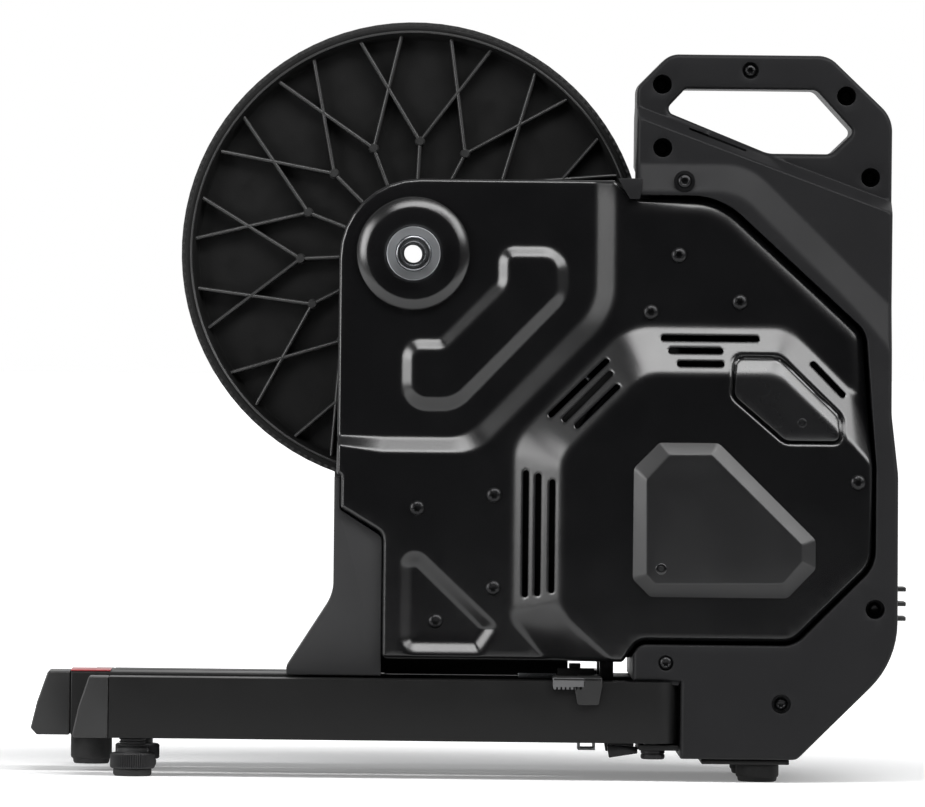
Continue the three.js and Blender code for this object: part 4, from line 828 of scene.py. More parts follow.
@dataclass
class Skin:
    """A pressed or moulded wall whose face is a function of x and z, with its rims drawn back.

    Its points lie on a fine grid where the face bends or slopes more than the two limits say, on a coarse one
    elsewhere, and in close rows along its folds, each a start, an end and how far it reaches to both sides.
    """

    name: str
    borders: list[Border]
    reach: Face
    wall: float
    fine: float = 1.3
    coarse: int = 5
    bend: float = 0.02
    tilt: float = 0.15
    folds: Sequence[tuple[Points, Points, float, float]] = ()
    fold_margin: float = 60.0
    fold_step: float = 1.9
    fold_row: float = 0.55
    clearance: float = 0.6
    border_step: float = 1.7
    lip: float = 1.2
    merge: float = 0.004

    def depths(self, points: Points) -> Points:
        """Depth of points from each border, one row each."""
        return np.array([border.depth(points) for border in self.borders])

    def face(self, points: Points, depths: Points) -> Points:
        """Distance of the outer face from the mid-plane, fillets included."""
        drops = [border.drop(np.maximum(row, 0)) for border, row in zip(self.borders, depths)]
        return self.reach(points) - np.max(drops, axis=0)

    def lattice(self, low: Points, high: Points) -> Points:
        """Points inside the skin, close together where its face bends or slopes.

        Args:
            low, high: corners of the box to fill.

        Returns:
            The points.
        """
        xs, zs = (np.arange(a, b, self.fine) for a, b in zip(low, high))
        grid = np.stack(np.meshgrid(xs, zs), axis=-1)
        points = grid.reshape(-1, 2)
        height = self.reach(points).reshape(grid.shape[:2])
        bend = np.zeros_like(height)
        bend[1:-1, :] += np.abs(height[2:, :] - 2 * height[1:-1, :] + height[:-2, :])
        bend[:, 1:-1] += np.abs(height[:, 2:] - 2 * height[:, 1:-1] + height[:, :-2])
        tilt = np.max(np.abs(np.gradient(height, self.fine)), axis=0)
        keep = (bend > self.bend) | (tilt > self.tilt)
        keep[:: self.coarse, :: self.coarse] = True
        points = points[keep.ravel()]
        for start, end, near, far in self.folds:
            along = (end - start) / np.linalg.norm(end - start)
            across = np.array([along[1], -along[0]])
            beside = (points - start) @ across
            length = np.linalg.norm(end - start)
            steps = np.arange(-self.fold_margin, length + self.fold_margin, self.fold_step)[:, None]
            rows = [start + steps * along + across * shift for shift in np.arange(near, far, self.fold_row)]
            apart = (beside < near - self.clearance) | (beside > far + self.clearance)
            points = np.vstack([points[apart], *rows])
            points = points[((points > low) & (points < high)).all(1)]
        clear = np.array([border.fillet + self.clearance * self.fine for border in self.borders])
        return points[(self.depths(points) > clear[:, None]).all(0)]

    def build(self) -> Piece:
        """Makes the skin: its face from a triangulation, its rims, its wells and its wall thickness.

        Returns:
            The closed piece.
        """
        loops = [row for border in self.borders for row in border.rows(self.border_step)]
        everything = np.vstack(loops)
        inner = self.lattice(everything.min(0), everything.max(0))
        edges, first = [], 0
        for loop in loops:
            count = len(loop)
            edges += [(first + i, first + (i + 1) % count) for i in range(count)]
            first += count
        points = [Vector(point) for point in np.vstack([everything, inner])]
        flat, _, faces, *_ = delaunay_2d_cdt(points, edges, [], 0, 1e-4)
        flat = np.array([tuple(point) for point in flat])
        faces = np.array(faces)
        inside = (self.depths(flat[faces].mean(1)) > 0).all(0)
        faces = faces[inside]
        depths = self.depths(flat)
        ys = -self.face(flat, depths)
        used = sorted(set(faces.ravel()))
        renumber = {old: new for new, old in enumerate(used)}
        positions = [place(flat[i][0], ys[i], flat[i][1]) for i in used]
        polygons = [tuple(renumber[i] for i in face) for face in faces]
        self.add_walls(flat, ys, depths, faces, renumber, positions, polygons)
        mesh = bpy.data.meshes.new(self.name)
        mesh.from_pydata(positions, [], polygons)
        piece = bpy.data.objects.new(self.name, mesh)
        bpy.context.collection.objects.link(piece)
        with editing(piece, "VERT"):
            bpy.ops.mesh.remove_doubles(threshold=self.merge * MM)
        thick = piece.modifiers.new("wall", "SOLIDIFY")
        thick.thickness = self.wall * MM
        thick.offset = -1
        select_only(piece)
        bpy.ops.object.modifier_apply(modifier=thick.name)
        return piece

    def add_walls(
        self,
        flat: Points,
        ys: Points,
        depths: Points,
        faces: Points,
        renumber: dict[int, int],
        positions: list[Vector],
        polygons: list[tuple[int, ...]],
    ) -> None:
        """Draws the walled borders back and closes the wells.

        Args:
            flat: the triangulation's points.
            ys: y of the face at each.
            depths: their depth from each border.
            faces: the kept triangles.
            renumber: from a point's number to its vertex.
            positions, polygons: the mesh's lists, which grow.
        """
        sides = {}
        for a, b, c in faces:
            for side in ((a, b), (b, c), (c, a)):
                sides[side] = True
        open_sides = [side for side in sides if (side[1], side[0]) not in sides]
        rows: dict[tuple[int, int], tuple[int, int]] = {}
        wells: dict[int, dict[int, int]] = {}
        for a, b in open_sides:
            index = int(np.argmin(np.abs(depths[:, a]) + np.abs(depths[:, b])))
            border = self.borders[index]
            if border.back is None:
                continue
            ends = []
            for i in (a, b):
                if (index, i) not in rows:
                    back = float(border.back(flat[i : i + 1])[0])
                    near = min(ys[i] + self.lip, back)
                    rows[index, i] = (len(positions), len(positions) + 1)
                    positions += [place(flat[i][0], y, flat[i][1]) for y in (near, back)]
                ends.append(rows[index, i])
            (a1, a2), (b1, b2) = ends
            polygons.append((renumber[b], renumber[a], a1, b1))
            polygons.append((b1, a1, a2, b2))
            if border.capped:
                wells.setdefault(index, {}).update({a: a2, b: b2})
        for index, floor in wells.items():
            centre = flat[list(floor)].mean(0)
            turn = sorted(floor, key=lambda i: math.atan2(flat[i][1] - centre[1], flat[i][0] - centre[0]))
            polygons.append(tuple(floor[i] for i in turn))


def level(y: float) -> Face:
    """A flat back for a border's wall."""
    return lambda points: np.full(len(points), y)


def cornered(corners: Sequence[Corner], steps: int = 8) -> Trace:
    """An outline of rounded corners as a function of how far it is moved outwards."""
    return lambda grow: rounded(offset(corners, grow), steps)


def round_trace(x: float, z: float, radius: float, count: int = 32) -> Trace:
    """A circle as a function of how far it is moved outwards."""
    return lambda grow: circle(x, z, radius + grow, count)


def slot_trace(x0: float, z0: float, x1: float, z1: float, width: float) -> Trace:
    """A slot with round ends.

    Args:
        x0, z0: the middle of one end.
        x1, z1: the middle of the other.
        width: its width.

    Returns:
        Its outline as a function of how far it is moved outwards.
    """

    def trace(grow: float) -> Points:
        """The outline moved outwards by a distance."""
        angle = math.degrees(math.atan2(z1 - z0, x1 - x0))
        turns = np.radians(np.linspace(90, 270, 9))
        ends = []
        for x, z, start in ((x0, z0, angle), (x1, z1, angle + 180)):
            around = turns + math.radians(start)
            ends.append(np.column_stack([np.cos(around), np.sin(around)]) * (width / 2 + grow) + [x, z])
        return np.vstack(ends)

    return trace


@dataclass
class Step:
    """A pressed step between two outlines, from its foot to its crest."""

    foot: Points
    crest: Points

    def rise(self, points: Points, height: float, blend: float) -> Points:
        """Height of the step over points, from 0 outside its foot to the full height inside its crest.

        Args:
            points: where it is measured.
            height: the step's full height.
            blend: how wide its edges are rounded, as a height.

        Returns:
            The heights.
        """
        outside = -signed_distance(points, self.foot)
        inside = signed_distance(points, self.crest)
        share = outside / np.maximum(outside + inside, 0.01)
        ramp = np.clip(share, -3, 4) * height
        return soft_min(soft_max(ramp, 0.0, blend), height, blend)


# The trainer's sub-assemblies


class Side(Enum):
    """The bike's left side, which the photograph shows, and its drive side."""

    LEFT = "left"
    RIGHT = "right"


@dataclass(frozen=True)
class Screw:
    """A domed screw with a hexagon socket, seen from the left side."""

    radius: float = 4.9
    height: float = 2.2
    socket: float = 2.1
    depth: float = 1.8
    flange: float = 0.0
    collar: float = 0.3

    def build(self, name: str, spot: Vector) -> Piece:
        """Makes the screw head.

        Args:
            name: the piece's name.
            spot: where its seat's middle lies, in the frame.

        Returns:
            The closed piece.
        """
        turns = np.radians([0, 12, 28, 46, 62])
        dome = [(self.radius * math.cos(turn), -self.height * math.sin(turn)) for turn in turns]
        wide = self.radius + self.flange
        rim = [(wide, 0.0), (wide, -0.7), (self.radius + 0.3, -1.0)] if self.flange else []
        deep = self.depth - self.height
        profile = [(0.0, self.collar), (wide, self.collar), *rim, *dome]
        profile += [(self.socket + 0.35, -self.height), (self.socket, -self.height + 0.35)]
        profile += [(self.socket, deep), (0.0, deep + 0.4)]
        local = [(radius, along + spot.y / MM) for radius, along in profile]
        piece = turned(name, local, spot, "Y", 36)
        for vertex in piece.data.vertices:
            out = Vector((vertex.co.x - spot.x, vertex.co.z - spot.z))
            if self.socket * 0.8 < out.length / MM < self.socket * 1.1:
                turn = (math.atan2(out.y, out.x) % (math.pi / 3)) - math.pi / 6
                out *= math.cos(math.pi / 6) / math.cos(turn) * 1.1
                vertex.co.x, vertex.co.z = spot.x + out.x, spot.z + out.y
        return piece


@dataclass
class FramePanel:
    """The pressed steel panel with its covers and screws."""

    left: float = -48.5
    bottom: float = 77.0
    length: float = 348.1
    height: float = 313.0
    sheet: float = 2.0
    reach: float = 57.0
    back: float = -14.3
    recess_depth: float = 6.8
    kidney_rise: float = 4.5
    pocket_depth: float = 4.5
    boss_rise: float = 17.0
    seat_gap: float = 1.2
    seat_depth: float = 2.6
    seat_slope: float = 3.2
    edge_drop: float = 4.0
    edge_band: float = 12.0
    edge_start: Pair = (120.0, 190.0)
    edge_fade: float = 60.0
    edge_fillet: float = 2.8
    hole_fillet: float = 0.6
    holes: Sequence[Corner] = ((*AXLE_SPOT, 11.0), (*FLYWHEEL_SPOT, 16.3))
    shoulder: float = 0.962
    corners: Sequence[Corner] = (
        (0, 1, 0.15), (0.514, 1, 0.009), (0.562, 0.962, 0.009), (0.71, 0.962, 0.13), (0.981, 0.687, 0.046),
        (1, 0.409, 0.086), (1, 0.208, 0.063), (0.854, 0.045, 0.046), (0.566, 0.045, 0.029), (0.537, 0, 0.009),
        (0.088, 0, 0.009), (0.088, 0.259, 0.023), (0.008, 0.313, 0.009), (0.008, 0.378, 0.004),
        (0, 0.386, 0.004),
    )
    recess_form: Form = (
        (
            (0.944, 1, 0.009), (1, 0.9, 0.03), (1, 0.445, 0.2), (0.579, 0, 0.14), (0.286, 0, 0.03),
            (0, 0.048, 0.009), (0, 1, 0.009),
        ),
        (-31.5, 134.0, 213.0, 209.0),
    )
    floor_form: Form = (
        ((1, 1, 0.01), (1, 0.432, 0.2), (0.582, 0, 0.15), (0, 0, 0.01), (0, 1, 0.01)),
        (-31.5, 145.0, 197.6, 198.0),
    )
    kidney_form: Form = (
        (
            (0.569, 1, 0.11), (1, 1, 0.16), (1, 0.685, 0.18), (0.344, 0, 0.24), (0, 0, 0.16),
            (0, 0.435, 0.13), (0.229, 0.435, 0.028), (0.569, 0.782, 0.055),
        ),
        (41.0, 162.0, 109.0, 108.0),
    )
    pocket_form: Form = (
        ((0, 1, 0.154), (0, 0, 0.17), (0.815, 0, 0.093), (1, 0.222, 0.093)),
        (41.7, 3.5, 64.8, 79.0),
    )
    boss_form: Form = (
        (
            (0, 0.703, 0.11), (0.284, 1, 0.13), (0.678, 1, 0.08), (1, 0.669, 0.019), (1, 0, 0.019),
            (0.2235, 0, 0.019), (0, 0.254, 0.076),
        ),
        (113.5, -37.0, 265.0, 256.5),
    )
    boss_top_form: Form = (
        (
            (0, 0.762, 0.1), (0.216, 1, 0.11), (0.592, 1, 0.08), (1, 0.606, 0.021), (1, 0, 0.021),
            (0.308, 0, 0.021), (0, 0.298, 0.085),
        ),
        (147.5, -37.0, 235.0, 223.5),
    )
    slope_run: float = 8.0
    form_blend: float = 1.0
    boss_blend: float = 1.6
    slots: Sequence[Box] = (
        (0.354, 0.137, 0.354, 0.39), (0.377, 0.14, 0.377, 0.384), (0.403, 0.147, 0.403, 0.372),
        (0.399, 0.511, 0.502, 0.624), (0.425, 0.502, 0.509, 0.598), (0.448, 0.489, 0.522, 0.571),
        (0.608, 0.673, 0.782, 0.673), (0.622, 0.647, 0.714, 0.647), (0.638, 0.62, 0.716, 0.62),
        (0.888, 0.622, 0.944, 0.559),
    )
    slot_width: float = 3.3
    screw: Screw = Screw()
    screws: Sequence[Pair] = (
        (172.7, 341.8), (154.9, 304.5), (212.7, 311.6), (54.0, 184.3), (4.0, 175.3), (54.0, 123.8),
        (16.8, 101.6), (290.1, 195.3),
    )
    inlay_spot: Pair = (253.4, 233.5)
    inlay_screw: Screw = Screw(3.1, 0.7, 1.5, 0.6)
    badge_spot: Pair = (162.7, 137.8)
    badge_screw: Screw = Screw(3.7, 0.5, 1.7, 0.6)
    inlay_box: Box = (209.0, 222.0, 68.5, 52.5)
    inlay: Sequence[Corner] = (
        (0.029, 1, 0.058), (0.423, 1, 0.146), (1, 0.286, 0.131), (1, 0, 0.058), (0.496, 0, 0.117),
        (0, 0.552, 0.117),
    )
    inlay_rise: float = 0.5
    inlay_wall: float = 1.4
    inlay_fillet: float = 0.7
    inlay_sheet: float = 1.2
    badge_box: Box = (144.5, 119.5, 118.5, 100.3)
    badge: Sequence[Corner] = (
        (0.139, 1, 0.034), (0.464, 1, 0.051), (1, 0.379, 0.042), (1, 0.189, 0.042),
        (0.848, 0, 0.042), (0.097, 0, 0.042), (0, 0.115, 0.042), (0, 0.833, 0.042),
    )
    badge_crest: Sequence[Corner] = (
        (0.195, 0.921, 0.03), (0.424, 0.924, 0.03), (0.922, 0.349, 0.03), (0.924, 0.238, 0.03),
        (0.821, 0.095, 0.03), (0.121, 0.086, 0.02), (0.076, 0.144, 0.02), (0.071, 0.758, 0.03),
    )
    badge_rise: float = 6.0

    def __post_init__(self) -> None:
        """Works out the outlines of the pressed forms."""
        self.outline = in_box(self.corners, (self.left, self.bottom, self.length, self.height))
        self.inlay_corners = in_box(self.inlay, self.inlay_box)
        kidney, pocket = self.on_panel(self.kidney_form), self.on_panel(self.pocket_form)
        self.recess = Step(rounded(self.on_panel(self.recess_form)), rounded(self.on_panel(self.floor_form)))
        self.kidney = Step(rounded(kidney), rounded(offset(kidney, -self.slope_run)))
        self.pocket = Step(rounded(pocket), rounded(offset(pocket, -self.slope_run)))
        self.boss = Step(rounded(self.on_panel(self.boss_form)), rounded(self.on_panel(self.boss_top_form)))

    def on_panel(self, form: Form) -> list[Corner]:
        """A form's corners, its box placed from the panel's lower left corner."""
        shares, (left, bottom, length, height) = form
        return in_box(shares, (self.left + left, self.bottom + bottom, length, height))

    def smooth_reach(self, points: Points) -> Points:
        """Distance of the pressed face from the mid-plane, without the inlay's seat.

        Args:
            points: where it is measured.

        Returns:
            The distances.
        """
        face = self.reach - self.recess.rise(points, self.recess_depth, self.form_blend)
        face = face + self.kidney.rise(points, self.kidney_rise, self.form_blend)
        face = face - self.pocket.rise(points, self.pocket_depth, self.form_blend)
        return face + self.boss.rise(points, self.boss_rise, self.boss_blend)

    def reach_at(self, points: Points) -> Points:
        """Distance of the pressed face from the mid-plane, with the inlay's seat and the soft upper edge.

        Args:
            points: where it is measured.

        Returns:
            The distances.
        """
        face = self.smooth_reach(points)
        seat = signed_distance(points, rounded(offset(self.inlay_corners, self.seat_gap)))
        dip = self.seat_depth * np.clip(1 - seat / self.seat_slope, 0, 1) ** 2
        face = face - np.where(seat < 0, self.seat_depth, dip)
        depth = -signed_distance(points, rounded(self.outline))
        # The soft edge fades in towards the panel's upper rear corner
        high = np.clip((points - self.edge_start) / self.edge_fade, 0, 1).prod(1)
        return face - self.edge_drop * high * np.clip(1 - depth / self.edge_band, 0, 1) ** 2

    def skin(self) -> Skin:
        """The panel as a skin with its cooling slots, axle hole and bearing hole.

        Returns:
            The skin.
        """
        borders = [Border([cornered(self.outline)], Keeps.INSIDE, self.edge_fillet, level(self.back))]
        for hole in self.holes:
            borders.append(Border([round_trace(*hole)], Keeps.OUTSIDE, self.hole_fillet, shares=(0.0, 1.0)))
        for x0, z0, x1, z1 in self.slots:
            ends = (
                self.left + x0 * self.length, self.bottom + z0 * self.height,
                self.left + x1 * self.length, self.bottom + z1 * self.height,
            )
            trace = slot_trace(*ends, self.slot_width)
            borders.append(Border([trace], Keeps.OUTSIDE, self.hole_fillet, shares=(0.0, 0.3, 1.0)))
        return Skin("pressed_panel", borders, self.reach_at, self.sheet)

    def inlay_piece(self) -> Piece:
        """The small cover that sits nearly flush in the boss.

        Returns:
            The cover.
        """

        def face(points: Points) -> Points:
            """The lid's face, a little proud of the panel's."""
            return self.smooth_reach(points) + self.inlay_rise

        def back(points: Points) -> Points:
            """y of the end of the lid's wall."""
            return -self.smooth_reach(points) + self.inlay_wall

        trace = cornered(self.inlay_corners)
        edge = Border([trace], Keeps.INSIDE, self.inlay_fillet, back, shares=(0.0, 0.3, 1.0))
        return Skin("inlay_lid", [edge], face, self.inlay_sheet).build()

    def badge_piece(self) -> Piece:
        """The large cover: a plate whose face is drawn in to a wide bevel.

        Returns:
            The cover.
        """
        foot = -(self.reach + self.boss_rise + FIT)
        top = foot - self.badge_rise
        outline = rounded(in_box(self.badge, self.badge_box), 5)
        crest = rounded(in_box(self.badge_crest, self.badge_box), 5)
        piece = prism("boss_badge", outline, top, foot)
        for vertex in piece.data.vertices:
            if vertex.co.y / MM < (top + foot) / 2:
                spot = np.array([vertex.co.x / MM - SHIFT, vertex.co.z / MM])
                x, z = crest[np.argmin(((outline - spot) ** 2).sum(1))]
                vertex.co = place(x, top, z)
        return bevel(piece, lambda a, b: abs(a.y - b.y) < 0.01 and a.y < top + 0.1, 0.9, 3)

    def build(self) -> None:
        """Makes and dresses the panel, its covers and its screws."""
        dress(self.skin().build(), ENAMEL, "stand", ["left_frame_panel"])
        dress(self.inlay_piece(), POLISHED_ABS, "stand", ["inlay_cover"])
        dress(self.badge_piece(), COVER_ABS, "stand", ["badge_cover"])
        pattern = self.screw.build("panel_screw_0", place(0, 0, 0))
        for index, (x, z) in enumerate(self.screws):
            seat = -float(self.reach_at(np.array([[x, z]]))[0]) - 0.05
            piece = copied(pattern, f"panel_screw_{index + 1}", place(x, seat, z) - place(0, 0, 0))
            dress(piece, OXIDE, "stand")
        bpy.data.objects.remove(pattern)
        x, z = self.inlay_spot
        lid = -float(self.smooth_reach(np.array([[x, z]]))[0]) - self.inlay_rise
        dress(self.inlay_screw.build("inlay_screw", place(x, lid, z)), OXIDE, "stand")
        x, z = self.badge_spot
        face = -(self.reach + self.boss_rise + FIT + self.badge_rise)
        dress(self.badge_screw.build("badge_screw", place(x, face, z)), ENAMEL, "stand")


@dataclass
class Shells:
    """The two moulded shells that make the rear of the frame and the carry handle."""

    left: float = 145.0
    bottom: float = 15.2
    length: float = 171.4
    height: float = 457.8
    wall: float = 2.5
    gap: float = 2.5
    grip: float = 32.0
    mid: float = 50.0
    band: float = 60.0
    foot: float = 90.0
    crease: Sequence[Pair] = ((0.0858, 0.9139), (0.9516, 0.7953))
    crease_width: float = 7.0
    band_top: Sequence[Pair] = ((-0.1, 0.843), (1.4, 0.843))
    band_side: Sequence[Pair] = ((0.2, 0.926), (1.3, 0.523))
    flare: Sequence[Pair] = ((-0.3, 0.6), (1.3, 0.6))
    band_width: float = 18.0
    flare_height: float = 230.0
    panel: FramePanel = field(default_factory=FramePanel)
    corners: Sequence[Corner] = (
        (0, 0.953, 0.055), (0.123, 1, 0.085), (0.729, 1, 0.1), (0.974, 0.913, 0.128), (0.974, 0.489, 0.35),
        (1, 0.404, 0.35), (1, 0.1413, 0.35), (0.6213, 0, 0.041), (0.181, 0, 0.006), (0.181, 0.1095, 0.006),
        (0, 0.1095, 0.006),
    )
    rim_fillet: float = 2.8
    cut_fillet: float = 0.8
    rim_cuts: Sequence[tuple[float, float, float, float, float]] = (
        (175.0, 23.4, 177.0, 66.0, -25.5), (194.0, 0.0, 241.0, 16.0, -20.5),
        (147.0, 60.0, 175.5, 67.0, -86.6),
    )
    opening_box: Box = (163.0, 408.8, 124.0, 41.7)
    opening_fillet: float = 3.6
    opening: Sequence[Corner] = (
        (0.109, 1, 0.024), (0.798, 1, 0.048), (1, 0.353, 0.032), (0.879, 0, 0.073), (0.548, 0, 0.161),
        (0, 0.652, 0.032),
    )
    finger_slot: Box = (179.7, 424.4, 215.8, 410.6)
    finger_width: float = 1.5
    tab_thickness: float = 3.5
    well_screw: Screw = Screw(4.3, 1.8, 2.0, 1.6)
    dish_screw: Screw = Screw(4.3, 2.2, 2.0, 1.8)
    flanged_screw: Screw = Screw(4.4, 1.8, 2.2, 1.6, flange=2.4, collar=8.0)
    flanged_spot: Pair = (175.8, 389.9)
    flanged_seat: float = -3.4
    screw_sink: float = 0.2
    guard_reach: float = 30.0
    guard_start: float = 97.0
    guard_slope: float = 1.2
    guard: Sequence[Pair] = (
        (153, 397), (-18, 397), (-18, 168), (62, 150), (78, 120), (78, 78), (153, 78),
    )
    guard_back: float = 9.7
    pulley_radius: float = 156.5
    well_radius: float = 6.2
    well_depth: float = 14.0
    wells: Sequence[Pair] = (
        (0.096, 0.957), (0.798, 0.943), (0.097, 0.866), (0.893, 0.827), (0.914, 0.214),
    )
    dishes: Sequence[Box] = (
        (0.431, 0.978, 5.5, 3.6), (0.561, 0.079, 6.2, 5.0), (0.1237, 0.1354, 5.0, 2.6),
    )

    def at(self, x: float, z: float) -> Points:
        """A point given as shares of the shells' length and height."""
        return np.array([self.left + x * self.length, self.bottom + z * self.height])

    def ramp(self, points: Points, line: Sequence[Pair], reach: float, slope: float) -> Points:
        """A sloping face: its reach at a line, growing to the line's right hand side.

        Args:
            points: where it is measured.
            line: two points as shares.
            reach: the face's distance from the mid-plane at the line.
            slope: how fast it grows.

        Returns:
            The face's distances.
        """
        start, end = self.at(*line[0]), self.at(*line[1])
        along = (end - start) / np.linalg.norm(end - start)
        return reach + slope * (points - start) @ np.array([along[1], -along[0]])

    def reach_at(self, points: Points) -> Points:
        """Distance of the left shell's face from the mid-plane.

        Args:
            points: where it is measured.

        Returns:
            The distances.
        """
        crease = self.ramp(points, self.crease, self.grip, (self.mid - self.grip) / self.crease_width)
        rise = (self.band - self.mid) / self.band_width
        top = self.ramp(points, self.band_top, self.mid, rise)
        side = self.ramp(points, self.band_side, self.mid, rise)
        flare = self.ramp(points, self.flare, self.band, (self.foot - self.band) / self.flare_height)
        low = soft_min(soft_max(flare, self.band, 4.0), self.foot, 4.0)
        band = soft_min(soft_min(top, side, 6.0), low, 1.2)
        return soft_max(self.grip, soft_min(crease, soft_max(self.mid, band, 0.8), 2.0), 0.6)

    def right_reach(self, points: Points) -> Points:
        """Distance of the drive side's face from the mid-plane: the same form, lower over the belt guard."""
        guard = self.guard_reach + self.guard_slope * (points[:, 0] - self.guard_start)
        return soft_min(self.reach_at(points), soft_max(guard, self.guard_reach, 3.0), 2.0)

    def rim_back(self, points: Points) -> Points:
        """How far back the outer rim's wall runs: short where the beam, the lugs and the riser pass.

        Args:
            points: where it is measured.

        Returns:
            y of the wall's end.
        """
        x, z = points[:, 0], points[:, 1]
        back = np.full(len(points), -FIT / 2)
        for left, bottom, right, top, end in self.rim_cuts:
            back[(x > left) & (z > bottom) & (x < right) & (z < top)] = end
        return back

    def well_borders(self, reach: Face) -> list[Border]:
        """The sunk screw holes.

        Args:
            reach: the face that they are sunk into.

        Returns:
            Their borders.
        """
        spots = [(*self.at(x, z), self.well_radius, self.well_depth) for x, z in self.wells]
        spots += [(*self.at(x, z), radius, depth) for x, z, radius, depth in self.dishes]
        borders = []
        for x, z, radius, depth in spots:
            floor = -float(reach(np.array([[x, z]]))[0]) + depth
            borders.append(
                Border([round_trace(x, z, radius)], Keeps.OUTSIDE, 0.7, level(floor), True, (0.0, 0.25, 1.0))
            )
        return borders

    def opening_border(self) -> Border:
        """The handle's opening."""
        corners = in_box(self.opening, self.opening_box)
        return Border([cornered(corners)], Keeps.OUTSIDE, self.opening_fillet, level(-FIT / 2))

    def outer_trace(self) -> Trace:
        """The outline that both shells share."""
        return cornered(in_box(self.corners, (self.left, self.bottom, self.length, self.height)))

    def skin(self, name: str, borders: list[Border], reach: Face, fine: float) -> Skin:
        """A shell's skin with what both sides share: the sunk screw holes and the crease.

        Args:
            name: the shell's name.
            borders: its own borders.
            reach: its face.
            fine: the spacing of its points where the face bends.

        Returns:
            The skin.
        """
        fold = (self.at(*self.crease[0]), self.at(*self.crease[1]), -1.0, self.crease_width + 1.6)
        return Skin(name, [*borders, *self.well_borders(reach)], reach, self.wall, fine=fine, folds=[fold])

    def left_skin(self) -> Skin:
        """The left shell, cut out round the pressed panel.

        Returns:
            The skin.
        """
        cut = cornered(offset(self.panel.outline, self.gap))
        finger = slot_trace(*self.finger_slot, self.finger_width)
        borders = [
            Border([self.outer_trace()], Keeps.INSIDE, self.rim_fillet, self.rim_back),
            Border([cut], Keeps.OUTSIDE, self.cut_fillet, level(-FIT / 2), shares=(0.0, 0.1, 0.4, 1.0)),
            self.opening_border(),
            Border([finger], Keeps.OUTSIDE, 0.4, shares=(0.0, 1.0)),
        ]
        return self.skin("left_moulding", borders, self.reach_at, 1.5)

    def right_skin(self) -> Skin:
        """The drive side's shell with the belt guard, drawn as a left one.

        Returns:
            The skin.
        """
        wing = [(x, z, 1.0) for x, z in self.guard]

        def back(points: Points) -> Points:
            """How far back the wall runs: short round the belt guard."""
            return np.where(points[:, 0] < self.left - FIT, self.guard_back, self.rim_back(points))

        pulley = round_trace(*AXLE_SPOT, self.pulley_radius, 160)
        borders = [
            Border([self.outer_trace(), cornered(wing, 2)], Keeps.INSIDE, self.rim_fillet, back),
            Border([pulley], Keeps.OUTSIDE, 1.2, back, shares=(0.0, 0.1, 0.4, 1.0)),
            self.opening_border(),
        ]
        return self.skin("right_moulding", borders, self.right_reach, 1.8)

    def tab(self) -> Piece:
        """The small hooked tab that laps the panel's upper corner.

        Returns:
            The tab.
        """
        top = self.panel.bottom + self.panel.height
        near = -self.panel.reach - FIT - self.tab_thickness
        outline = [
            (self.left - 12.6, top + 1.2), (self.left + 3.4, top + 1.4), (self.left + 3.4, top - 4.1),
            (self.left + 2, top - 12.1), (self.left - 4.6, top - 12.1),
        ]
        piece = prism("hooked_tab", np.array(outline), near, near + self.tab_thickness)
        bevel(piece, lambda a, b: max(a.y, b.y) < near + 0.01, 0.6, 2)
        shoulder = self.panel.bottom + self.panel.shoulder * self.panel.height
        high = shoulder + self.gap - FIT / 2
        lap = block("lap", (self.left + FIT, -50, shoulder + FIT), (self.left + 9, -16, high))
        return united("hooked_tab", [piece, lap])

    def build(self) -> None:
        """Makes and dresses both shells and their screws."""
        left = united("left_moulding", [self.left_skin().build(), self.tab()])
        dress(left, GRAINED_ABS, "stand", ["left_shell"])
        drawn = self.right_skin().build()
        right = mirrored(drawn, "right_moulding")
        bpy.data.objects.remove(drawn)
        dress(right, GRAINED_ABS, "stand", ["right_shell"])
        for index, (x, z) in enumerate(self.wells):
            depth = self.well_depth - self.screw_sink
            self.sunk_screw(f"shell_screw_{index}", self.at(x, z), depth, self.well_screw)
        for index, (x, z, _, depth) in enumerate(self.dishes):
            self.sunk_screw(f"dished_screw_{index}", self.at(x, z), depth - self.screw_sink, self.dish_screw)
        self.sunk_screw("flanged_screw", np.array(self.flanged_spot), self.flanged_seat, self.flanged_screw)

    def sunk_screw(self, name: str, spot: Points, depth: float, screw: Screw) -> None:
        """A screw in the left shell and its twin in the right one.

        Args:
            name: the screw's name.
            spot: its x and z.
            depth: how deep its seat lies below the face.
            screw: its sizes.
        """
        seat = -float(self.reach_at(spot[None, :])[0]) + depth
        piece = screw.build(f"{name}_left", place(spot[0], seat, spot[1]))
        dress(piece, OXIDE, "stand")
        if depth > 0.1:
            dress(mirrored(piece, f"{name}_right"), OXIDE, "stand")


